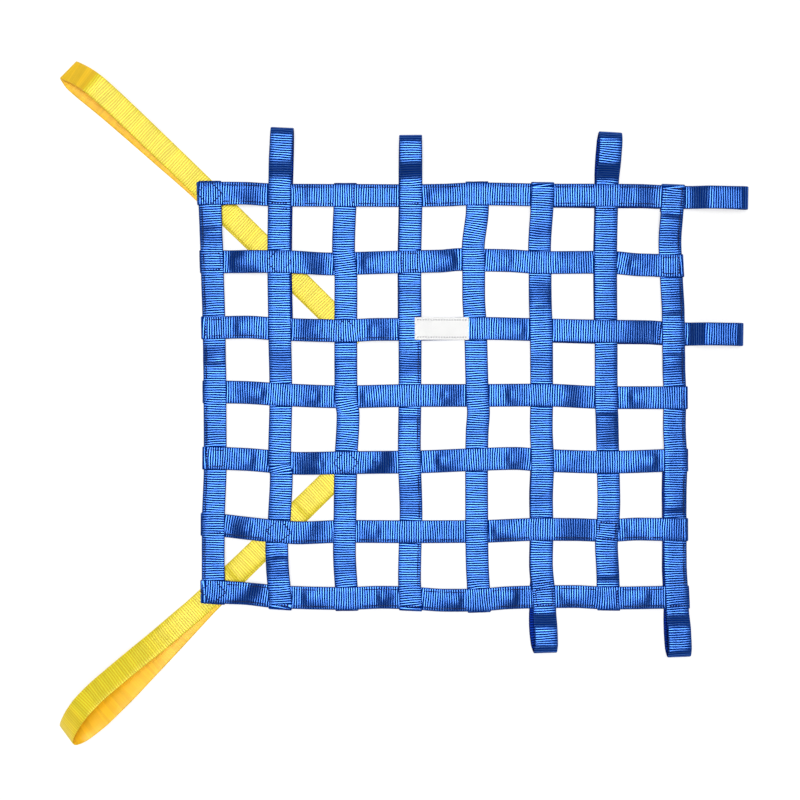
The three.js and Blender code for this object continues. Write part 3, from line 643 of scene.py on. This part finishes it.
# Plies
def creases_along(along, flats, creases):
    """How far the middle of a strap stands up beside its creases: each is a short steep place, with a
    long soft slope on its side with more room."""
    rise = np.zeros_like(along)
    for gap, (at, slope) in creases.items():
        before, after = flats[gap - 1], flats[gap]
        low, high = before["high"], after["low"]
        half = min(CREASE_LENGTH / 2, (high - low) / 6)
        place = (before["middle"] + after["middle"]) / 2 + at
        place = np.clip(place, low + half, high - half)
        steep = smooth_step((along - place + half) / (2 * half))
        if high - place > place - low:
            bump = steep - smooth_step((along - place - half) / (high - place - half))
        else:
            bump = smooth_step((along - low) / (place - half - low)) - steep
        # A smooth step of height 1 over 2 * half is 3 / (4 * half) steep at its middle.
        rise += slope * half * 4 / 3 * bump
    return rise


def skew_of(along, flats):
    """How the lines of a strap shift along it beside a tether, where it leaves that at a slant: the
    shift for each millimetre to the side, and the least and the most that a line may shift."""
    lean, least, most = np.zeros_like(along), np.zeros_like(along), np.zeros_like(along)
    for k, flat in enumerate(flats):
        if flat["lean"] == 0:
            continue
        spare_low = flat["middle"] - flat["low"] - FLAT_HALF
        spare_high = flat["high"] - flat["middle"] - FLAT_HALF
        if k > 0:
            start = flats[k - 1]["high"]
            near = smooth_step((along - start) / (flat["low"] - start)) * (along < flat["middle"])
            lean = lean + flat["lean"] * near
            least = least - WEB_WIDTH * near
            most = most + spare_low * near
        if k + 1 < len(flats):
            end = flats[k + 1]["low"]
            near = smooth_step((end - along) / (end - flat["high"])) * (along >= flat["middle"])
            lean = lean + flat["lean"] * near
            least = least - spare_high * near
            most = most + WEB_WIDTH * near
    return lean, least, most


wave_rng = np.random.default_rng(WAVE_SEED)
WAVES = []
for _ in range(WAVE_COUNT):
    rate = 2 * np.pi / wave_rng.uniform(*WAVE_LENGTHS)
    turned = wave_rng.uniform(0, 2 * np.pi)
    start = wave_rng.uniform(0, 2 * np.pi)
    WAVES.append((rate, turned, start))


def shared_waves(points):
    x, y = points[..., 0], points[..., 1]
    return sum(
        WAVE_HEIGHT * np.sin(rate * (x * np.cos(turned) + y * np.sin(turned)) + start)
        for rate, turned, start in WAVES
    )


class Ply:
    """A fine table along a strap: its arc length, its middle, its side vector and its normal."""

    def __init__(
        self, stations, front, axis, across, origin=(0, 0, 0), width=WEB_WIDTH, flats=(), creases=None,
        crease_reach=1.0,
    ):
        table = np.array(stations, float)
        steps = np.linalg.norm(np.diff(table[:, :3], axis=0), axis=1)
        lengths = np.concatenate([[0], np.cumsum(steps)])
        self.length = lengths[-1]
        self.width = width
        self.s = np.linspace(0, self.length, int(self.length / FINE_STEP) + 1)
        along, side, z, tilt = (through_knots(lengths, table[:, j], self.s) for j in range(4))
        fold = np.interp(self.s, lengths, table[:, 4])
        follows = np.interp(self.s, lengths, table[:, 5])[:, None]
        self.along = along
        self.front = lengths[front[0]], lengths[front[1]]
        moved = np.array(origin, float) - OUTLINE_MIDDLE
        self.middle = moved + np.outer(along, axis) + np.outer(side, across) + np.outer(z, UP)
        self.z = z
        self.rise = creases_along(along, flats, creases or {})
        self.crease_reach = crease_reach
        self.skew = skew_of(along, flats)
        self.forward = np.sign(np.gradient(along))
        tangent = unit(np.gradient(self.middle, axis=0))
        roll = np.radians(tilt)[:, None]
        level = unit(across - np.outer(fold, axis))
        leaned = level * np.cos(roll) + UP * np.sin(roll)
        square = unit(leaned - (leaned * tangent).sum(1)[:, None] * tangent)
        side_vector = unit(square * (1 - follows) + leaned * follows)
        self.normal = unit(np.cross(tangent, side_vector))
        slant = (side_vector * tangent).sum(1)
        self.side = side_vector * (width / 2 / np.sqrt(1 - slant**2))[:, None]

    def at(self, s, share, height):
        """Points at arc lengths s, shares of the half width and heights over the middle, in millimetres."""
        middle, side, normal = (
            np.stack([np.interp(s, self.s, table[:, j]) for j in range(3)], -1)
            for table in (self.middle, self.side, self.normal)
        )
        points = middle + side * share[..., None] + normal * height[..., None]
        lean, least, most, forward = (np.interp(s, self.s, table) for table in (*self.skew, self.forward))
        shift = np.clip(lean * share * WEB_WIDTH / 2, least, most) * forward
        slanted = np.interp(s - shift, self.s, self.z) - np.interp(s, self.s, self.z)
        risen = np.interp(s, self.s, self.rise) * (1 - smooth_step(np.abs(share) / self.crease_reach))
        points[..., 2] += slanted + risen + shared_waves(points)
        points[..., 2] = np.maximum(points[..., 2], 0)
        return points

    def length_at(self, along):
        """The arc length at a place on the front ply."""
        low, high = np.searchsorted(self.s, self.front)
        return np.interp(along, self.along[low:high], self.s[low:high])


# Meshes
def make_mesh(name, points, faces, material, uv=None, plain_shade=None):
    """A smooth mesh object from points in millimetres."""
    mesh = bpy.data.meshes.new(name)
    mesh.from_pydata((np.asarray(points) * MM).tolist(), [], faces)
    mesh.update()
    if uv is not None:
        corner_of = np.empty(len(mesh.loops), int)
        mesh.loops.foreach_get("vertex_index", corner_of)
        layer = mesh.uv_layers.new(name="UVMap")
        layer.data.foreach_set("uv", uv[corner_of].astype(np.float32).ravel())
    # The share of plain faces, which the webbing's material also uses to paint a shade.
    if plain_shade is not None:
        values = mesh.attributes.new("plain_shade", "FLOAT", "POINT").data
        values.foreach_set("value", plain_shade.astype(np.float32))
    mesh.shade_smooth()
    mesh.materials.append(material)
    piece = bpy.data.objects.new(name, mesh)
    bpy.context.scene.collection.objects.link(piece)
    return piece


def strip_mesh(name, points, share, place, material, plain_shade=None):
    """A closed strip through rings of points. Its texture runs by share across it and by place along it."""
    rings, around = points.shape[:2]
    ring_starts = np.arange(rings - 1)[:, None] * around
    first = (ring_starts + np.arange(around)).ravel()
    second = (ring_starts + (np.arange(around) + 1) % around).ravel()
    quads = np.stack([first, second, second + around, first + around], -1).tolist()
    caps = [list(range(around))[::-1], list(range((rings - 1) * around, rings * around))]
    uv = np.stack(np.broadcast_arrays(share / 2 + 0.5, place[:, None]), -1).reshape(-1, 2)
    return make_mesh(name, points.reshape(-1, 3), quads + caps, material, uv, plain_shade)


def slow_wave(rng, s, size):
    """A slow seeded wave along a strap, from about -size to size."""
    waves = [np.sin(2 * np.pi * s / length + rng.uniform(0, 2 * np.pi)) for length in SLOW_LENGTHS]
    return size * sum(waves) / SLOW_SUM


def web_mesh(name, ply, pitch, plain_shade_at, seed, material):
    """A closed strip of ribbed webbing. Its ribs lean, bow and waver a little along the strip.

    A function of the arc length gives how plain the outer and the inner face are, from ribbed, 0, to
    smooth, 1. The same share goes on the mesh, where the material paints a shade on the plain faces.
    """
    rng = np.random.default_rng(seed)
    count = round(ply.length / pitch)
    phase = np.append((np.arange(count)[:, None] + RIB_PHASES).ravel(), count)
    s = phase * ply.length / count
    rib = np.sin(np.pi * (phase % 1)) ** CREST_POWER
    section = np.array([(-1, 0)] + TOP_SHARES + [(1, 0)] + UNDER_SHARES, float)
    share, lift = section.T
    # How plain each face is: plain faces are smoothed here and take a painted shade in the material.
    outer, inner = (np.asarray(plain_shade)[:, None] for plain_shade in plain_shade_at(s))
    plain_shade = np.where(lift < 0, inner, outer)
    ribbed = GROOVE_HALF + (CREST_HALF - GROOVE_HALF) * rib[:, None]
    half = ribbed + (MIDDLE_HALF - ribbed) * plain_shade
    held = smooth_step(s / STRAIGHT_AT_END) * smooth_step((ply.length - s) / STRAIGHT_AT_END)
    lean = slow_wave(rng, s, RIB_LEAN)[:, None] * share
    bow = slow_wave(rng, s, RIB_BOW)[:, None] * (share**2 - 0.5)
    turned = 2 * np.pi * s[:, None] / WAVER_LENGTH + WAVER_ACROSS * share + rng.uniform(0, 6)
    shifted = np.clip(s[:, None] + held[:, None] * (lean + bow + RIB_WAVER * np.sin(turned)), 0, ply.length)
    swell = 1 + (rib[:, None] - 0.5) * SELVAGE_SWELL / (WEB_WIDTH / 2) * (np.abs(share) > SELVAGE_FROM)
    points = ply.at(shifted, share * swell, half * lift)
    return strip_mesh(name, points, share, phase, material, plain_shade.ravel())


def label_mesh(ply):
    s = np.linspace(0, ply.length, LABEL_RINGS)
    under = [(-share, -lift) for share, lift in LABEL_SHARES]
    share, lift = np.array([(-1, 0)] + LABEL_SHARES + [(1, 0)] + under, float).T
    points = ply.at(*np.broadcast_arrays(s[:, None], share, LABEL["thick"] / 2 * lift))
    return strip_mesh("label_tape", points, share, s, WHITE)


def stitch_mesh(name, ply, stitches, material, surface=CREST_HALF):
    """Short bits of thread on a ply. Each is its middle's arc length and side in millimetres, and its
    direction."""
    s, side, turned = np.array(stitches, float).T[..., None, None]
    share, rise, girth = np.array(STITCH_RINGS).T[..., None]
    angle = np.arange(STITCH_SIDES) * 2 * np.pi / STITCH_SIDES
    ahead = share * STITCH_LENGTH
    aside = girth * STITCH_RADIUS * np.cos(angle)
    height = surface + rise + girth * STITCH_RADIUS * np.sin(angle)
    along_s = s + ahead * np.cos(turned) - aside * np.sin(turned)
    along_w = side + ahead * np.sin(turned) + aside * np.cos(turned)
    points = ply.at(along_s, along_w / (ply.width / 2), np.broadcast_to(height, along_s.shape))
    size = len(STITCH_RINGS) * STITCH_SIDES
    quads = []
    for ring in range(0, size - STITCH_SIDES, STITCH_SIDES):
        for j in range(STITCH_SIDES):
            after = (j + 1) % STITCH_SIDES
            ahead_ring = ring + STITCH_SIDES
            quads.append([ring + j, ring + after, ahead_ring + after, ahead_ring + j])
    caps = [list(range(STITCH_SIDES))[::-1], list(range(size - STITCH_SIDES, size))]
    count = len(stitches)
    faces = [[size * n + corner for corner in face] for n in range(count) for face in quads + caps]
    return make_mesh(name, points.reshape(-1, 3), faces, material, np.full((size * count, 2), 0.5))


# Seams
def row_of_stitches(start, end):
    """Stitches of one straight row from start to end, each a point of arc length and side."""
    start, end = np.array(start, float), np.array(end, float)
    length = np.linalg.norm(end - start)
    turned = math.atan2(end[1] - start[1], end[0] - start[0])
    count = max(1, int(length / STITCH_PITCH))
    return [(*(start + (end - start) * (k + 0.5) / count), turned) for k in range(count)]


def diamond(middle):
    corners = [(middle + DIAMOND_HALF * a, DIAMOND_HALF * b) for a, b in ((1, 0), (0, 1), (-1, 0), (0, -1))]
    return [stitch for j in range(4) for stitch in row_of_stitches(corners[j], corners[(j + 1) % 4])]


def box(middle, inset):
    stitches = []
    for off in (-inset, inset):
        stitches += row_of_stitches((middle + off, -inset), (middle + off, inset))
        stitches += row_of_stitches((middle - inset, off), (middle + inset, off))
    return stitches


def seams_at(strap, k, middle, inset):
    """The stitches on a strap at one crossing: a row at the foot of a loop, and on the upper strap a
    diamond over a tether, a box or a row at the border."""
    stitches = []
    is_start, is_finish = k == 0, k == strap.count - 1
    if is_start and "start" in strap.loops or is_finish and "finish" in strap.loops:
        inward = middle + (RETURN_SEAM if is_start else -RETURN_SEAM)
        stitches += row_of_stitches((inward, -inset), (inward, inset))
    column, row = column_and_row(strap, k)
    if is_row_on_top(column, row) == strap.is_column:
        return stitches
    if tethers_below(column, row):
        return stitches + diamond(middle)
    if (column.number, row.number) in BOXED_CROSSINGS:
        return stitches + box(middle, inset)
    if is_start or is_finish or strap.number in (1, len(columns if strap.is_column else rows)):
        return stitches + row_of_stitches((middle + inset, -inset), (middle + inset, inset))
    return stitches


def seams_of(strap, ply, flats):
    """The stitches on a strap's front: at its crossings, and along its edges between them."""
    inset = WEB_WIDTH / 2 - SEAM_INSET
    middles = [ply.length_at(flat["middle"]) for flat in flats]
    stitches = [stitch for k in range(strap.count) for stitch in seams_at(strap, k, middles[k], inset)]
    for line in EDGE_SEAMS:
        if line["strap"] != strap.name:
            continue
        start, end = middles[line["from"] - 1], middles[line["to"] - 1]
        for side in line["sides"]:
            stitches += [
                stitch
                for stitch in row_of_stitches((start, side * inset), (end, side * inset))
                if min(abs(middle - stitch[0]) for middle in middles) > RETURN_SEAM
            ]
    return [stitch for stitch in stitches if abs(stitch[1]) < WEB_WIDTH / 2 - SEAM_EDGE]


# Materials
class Nodes:
    """A material's nodes, made with short calls."""

    def __init__(self, name):
        self.material = bpy.data.materials.new(name)
        self.material.use_nodes = True
        self.tree = self.material.node_tree
        self.tree.nodes.clear()

    def add(self, kind, inputs=None, **settings):
        node = self.tree.nodes.new(kind)
        for key, value in settings.items():
            setattr(node, key, value)
        for key, value in (inputs or {}).items():
            socket = node.inputs[key]
            if isinstance(value, bpy.types.NodeSocket):
                self.tree.links.new(value, socket)
            else:
                socket.default_value = value
        return node

    def math(self, operation, a, b=0.0, c=0.0):
        return self.add("ShaderNodeMath", {0: a, 1: b, 2: c}, operation=operation).outputs[0]

    def wave(self, value, rate):
        return self.math("SINE", self.math("MULTIPLY", value, rate))

    def mix(self, factor, a, b, blend="MIX"):
        node = self.add("ShaderNodeMix", {0: factor, 6: a, 7: b}, data_type="RGBA", blend_type=blend)
        return node.outputs[2]

    def noise(self, where, scale, detail):
        inputs = {"Vector": where, "Scale": scale, "Detail": detail}
        return self.add("ShaderNodeTexNoise", inputs).outputs[0]

    def place(self):
        """The place on the texture: X across the strip, Y along it."""
        return self.add("ShaderNodeSeparateXYZ", {0: self.add("ShaderNodeUVMap", uv_map="UVMap").outputs[0]})

    def finish(self, **inputs):
        named = {key.replace("_", " "): value for key, value in inputs.items()}
        shader = self.add("ShaderNodeBsdfPrincipled", named)
        self.add("ShaderNodeOutputMaterial", {"Surface": shader.outputs[0]})
        return self.material


def webbing_material(name, groove, crest, plain_shade, sharp, shine, **finish):
    """Ribbed webbing: crests of fine yarns side by side, dark grooves between them, and a painted
    shade on plain faces, which stands in for the shade inside loops and at a tether's tip. A higher
    sharp makes the crests narrower, and shine is how much they shine."""
    nodes = Nodes(name)
    place = nodes.place()
    rib = nodes.math("ABSOLUTE", nodes.wave(place.outputs["Y"], math.pi))
    plain_shade_share = nodes.add("ShaderNodeAttribute", attribute_name="plain_shade").outputs["Fac"]
    number = nodes.math("FLOOR", place.outputs["Y"])
    each = nodes.add("ShaderNodeTexWhiteNoise", {"W": number}, noise_dimensions="1D").outputs["Value"]
    across = nodes.math("MULTIPLY_ADD", place.outputs["X"], YARNS, nodes.math("MULTIPLY", number, 0.5))
    yarn = nodes.math("ABSOLUTE", nodes.wave(across, math.pi))
    where = nodes.add("ShaderNodeTexCoord").outputs["Object"]
    fibre = nodes.noise(where, FIBRE_SCALE, 2.0)
    cloud = nodes.noise(where, CLOUD_SCALE, 3.0)
    crest_share = nodes.math("POWER", rib, sharp)
    yarn_share = nodes.math("MULTIPLY_ADD", yarn, YARN_SHADE, 1 - YARN_SHADE)
    crest_share = nodes.math("MULTIPLY", crest_share, yarn_share)
    shade = nodes.math("MULTIPLY_ADD", fibre, FIBRE_SHADE, LEAST_SHADE)
    shade = nodes.math("MULTIPLY_ADD", cloud, CLOUD_SHADE, shade)
    shade = nodes.math("MULTIPLY_ADD", each, RIB_SHADE, shade)
    tone = nodes.add("ShaderNodeCombineColor", {0: shade, 1: shade, 2: shade}).outputs[0]
    # Painted shade: the plain faces take the shade colour, for the shade inside loops and at a tether's tip.
    colour = nodes.mix(plain_shade_share, nodes.mix(crest_share, groove, crest), plain_shade)
    colour = nodes.mix(1.0, colour, tone, "MULTIPLY")
    relief = nodes.math("MULTIPLY_ADD", fibre, FIBRE_RELIEF, nodes.math("MULTIPLY", yarn, rib))
    raised = {"Height": relief, "Strength": 0.3, "Distance": RELIEF}
    bump = nodes.add("ShaderNodeBump", raised).outputs[0]
    shining = nodes.math("MINIMUM", nodes.math("MULTIPLY", crest_share, SHINE_GAIN), 1.0)
    metallic = nodes.math("MULTIPLY", shining, shine)
    return nodes.finish(Base_Color=colour, Normal=bump, Metallic=metallic, **finish)


def label_material():
    """A fine white woven tape: 42 threads across it, and 0.9 for each millimetre along it."""
    nodes = Nodes("label_white")
    place = nodes.place()
    rates = {"X": 42, "Y": 0.9}
    waves = [nodes.wave(place.outputs[axis], 2 * math.pi * rate) for axis, rate in rates.items()]
    weave = nodes.math("MULTIPLY", *waves)
    cloud = nodes.noise(nodes.add("ShaderNodeTexCoord").outputs["Object"], 90.0, 3.0)
    share = nodes.math("MULTIPLY_ADD", weave, 0.12, nodes.math("MULTIPLY", cloud, 0.8))
    colour = nodes.mix(share, (0.87, 0.87, 0.865, 1), (0.95, 0.95, 0.945, 1))
    bump = nodes.add("ShaderNodeBump", {"Height": weave, "Strength": 0.5, "Distance": RELIEF}).outputs[0]
    return nodes.finish(Base_Color=colour, Roughness=0.6, Normal=bump, Specular_IOR_Level=0.4)


def floor_material():
    nodes = Nodes("floor_white")
    where = nodes.add("ShaderNodeTexCoord").outputs["Object"]
    cloud = nodes.add("ShaderNodeTexNoise", {"Vector": where, "Scale": 3.0}).outputs[0]
    return nodes.finish(
        Base_Color=nodes.mix(cloud, (0.42, 0.42, 0.42, 1), (0.45, 0.45, 0.45, 1)), Roughness=0.9,
        Emission_Color=(1.0, 1.0, 1.0, 1), Emission_Strength=FLOOR_GLOW)


# The blue's colour for plain faces is a painted shade: a dark navy for the inner faces of loops and folds.
BLUE = webbing_material(
    "webbing_blue", groove=(0.0, 0.018, 0.158, 1), crest=(0.077, 0.222, 0.68, 1),
    plain_shade=(0.002, 0.012, 0.12, 1), sharp=8.0, shine=1.0, Roughness=0.25, Specular_IOR_Level=0.0)
# The yellow's colour for plain faces is painted shade and bounced light: a deep orange inside the tethers'
# loops and, in part, at their bent tips.
YELLOW = webbing_material(
    "webbing_yellow", groove=(0.72, 0.48, 0.0, 1), crest=(0.83, 0.775, 0.042, 1),
    plain_shade=(0.88, 0.49, 0.007, 1), sharp=2.0, shine=0.15, Roughness=0.38, Specular_IOR_Level=0.4)
THREAD = webbing_material(
    "thread_blue", groove=(0.0, 0.002, 0.02, 1), crest=(0.0, 0.006, 0.06, 1),
    plain_shade=(0.0, 0.004, 0.03, 1), sharp=1.0, shine=0.0, Roughness=0.6)
PALE_THREAD = webbing_material(
    "thread_pale", groove=(0.42, 0.42, 0.44, 1), crest=(0.5, 0.5, 0.52, 1),
    plain_shade=(0.45, 0.45, 0.47, 1), sharp=1.0, shine=0.0, Roughness=0.7)
WHITE = label_material()


def plain_shade_in_loops(ply):
    """Only the inner faces are plain, where the strap goes out of the net and back. They take a painted
    shade there, for the shade inside the loops and folds.
    """
    start, end = ply.front
    return lambda s: (
        np.zeros_like(s),
        1 - smooth_step((s - start) / LOOP_PLAIN_SHADE_RUN) * smooth_step((end - s) / LOOP_PLAIN_SHADE_RUN),
    )


def plain_shade_in_tether(ply, crest_at, at_tip):
    """The inner faces are plain, and the outer face is partly so from the crest to the tip. Plain faces
    take a painted shade: shade and bounced yellow light inside the loop, and shade at the bent tip.
    """
    crest = ply.length_at(crest_at)
    return lambda s: (
        at_tip * smooth_step((s - crest) / TIP_PLAIN_SHADE_RUN + 0.5),
        PLAIN_SHADE_SHARE * smooth_step((np.interp(s, ply.s, ply.along) - PLAIN_SHADE_PAST) / PLAIN_SHADE_RUN),
    )


# The net's pieces
def keep(piece):
    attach(piece, "root")


for seed, strap in enumerate([*columns, *rows], NET_SEED):
    stations, front = strap_stations(strap)
    flats = flats_of(strap)
    ply = Ply(
        stations, front, strap.axis, strap.across, flats=flats, creases=strap.creases,
        crease_reach=COLUMN_CREASE_REACH if strap.is_column else ROW_CREASE_REACH)
    piece = web_mesh(f"{strap.name}_webbing", ply, BLUE_PITCH, plain_shade_in_loops(ply), seed, BLUE)
    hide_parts(strap.name)
    keep(piece)
    stitches = seams_of(strap, ply, flats)
    if stitches:
        sewing = stitch_mesh(f"{strap.name}_sewing", ply, stitches, THREAD)
        keep(sewing)

crossings_of_tether = [
    {"middle": at, "low": at - TETHER_COVERED, "high": at + TETHER_COVERED, "lean": 0.0}
    for at in TETHER_CROSSED
]
for seed, tether in enumerate(TETHERS, TETHER_SEED):
    stations, front = tether_stations(tether)
    ply = Ply(
        stations, front, unit(flat_vector(tether["heading"])), unit(flat_vector(tether["side"])),
        flat_vector(tether["at"]), flats=crossings_of_tether, creases=tether["creases"],
        crease_reach=TETHER_CREASE_REACH)
    plain_shade = plain_shade_in_tether(ply, tether["crest_at"], tether["plain_shade_at_tip"])
    piece = web_mesh(f"{tether['name']}_webbing", ply, YELLOW_PITCH, plain_shade, seed, YELLOW)
    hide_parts(tether["name"])
    keep(piece)

labelled = rows[LABEL["row"] - 1]
ends = (0, LABEL_STATIONS - 1)
label_ply = Ply(label_stations(), ends, labelled.axis, labelled.across, width=LABEL["height"])
piece = label_mesh(label_ply)
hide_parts("label")
keep(piece)
stitches = []
for side in (-LABEL_SEAM, LABEL_SEAM):
    stitches += row_of_stitches((LABEL_SEAM_END, side), (label_ply.length - LABEL_SEAM_END, side))
sewing = stitch_mesh("label_sewing", label_ply, stitches, PALE_THREAD, LABEL_SURFACE * LABEL["thick"])
keep(sewing)

# Floor
floor_signs = ((-1, -1), (1, -1), (1, 1), (-1, 1))
floor_corners = [(FLOOR_HALF * x, FLOOR_HALF * y, -FLOOR_DROP) for x, y in floor_signs]
floor = make_mesh("floor", floor_corners, [[0, 1, 2, 3]], floor_material())

# Camera, straight above the net
camera = bpy.data.objects.new("camera", bpy.data.cameras.new("camera"))
bpy.context.scene.collection.objects.link(camera)
camera.location = CAMERA_PLACE
camera.data.sensor_width = SENSOR_WIDTH
camera.data.lens = CAMERA_LENS
bpy.context.scene.camera = camera


# Light
def soft_sun(name, x_lean, y_lean, energy):
    """A wide sun that shines on the middle of the net, leaning to the right and to the top in degrees."""
    data = bpy.data.lights.new(name, "SUN")
    data.energy = energy
    data.angle = math.radians(KEY_ANGLE)
    lamp = bpy.data.objects.new(name, data)
    bpy.context.scene.collection.objects.link(lamp)
    x, y = (math.tan(math.radians(lean)) * KEY_HEIGHT for lean in (x_lean, y_lean))
    lamp.location = (x, y, KEY_HEIGHT)
    lamp.rotation_mode = "QUATERNION"
    lamp.rotation_quaternion = Vector((-x, -y, -KEY_HEIGHT)).to_track_quat("-Z", "Y")


for key in KEYS:
    soft_sun(**key)

world = bpy.data.worlds.new("world")
world.use_nodes = True
sky = world.node_tree
height = sky.nodes.new("ShaderNodeSeparateXYZ")
sky.links.new(sky.nodes.new("ShaderNodeTexCoord").outputs["Generated"], height.inputs[0])
ramp = sky.nodes.new("ShaderNodeMapRange")
ramp.interpolation_type = "SMOOTHSTEP"
glows = {"From Min": WALL_TOP, "From Max": CEILING_FROM, "To Min": WALL_GLOW, "To Max": CEILING_GLOW}
for key, value in glows.items():
    ramp.inputs[key].default_value = value
sky.links.new(height.outputs["Z"], ramp.inputs["Value"])
sky.links.new(ramp.outputs["Result"], sky.nodes["Background"].inputs["Strength"])
sky.nodes["Background"].inputs["Color"].default_value = (1.0, 1.0, 1.0, 1)
bpy.context.scene.world = world
bpy.context.scene.view_settings.view_transform = "Standard"
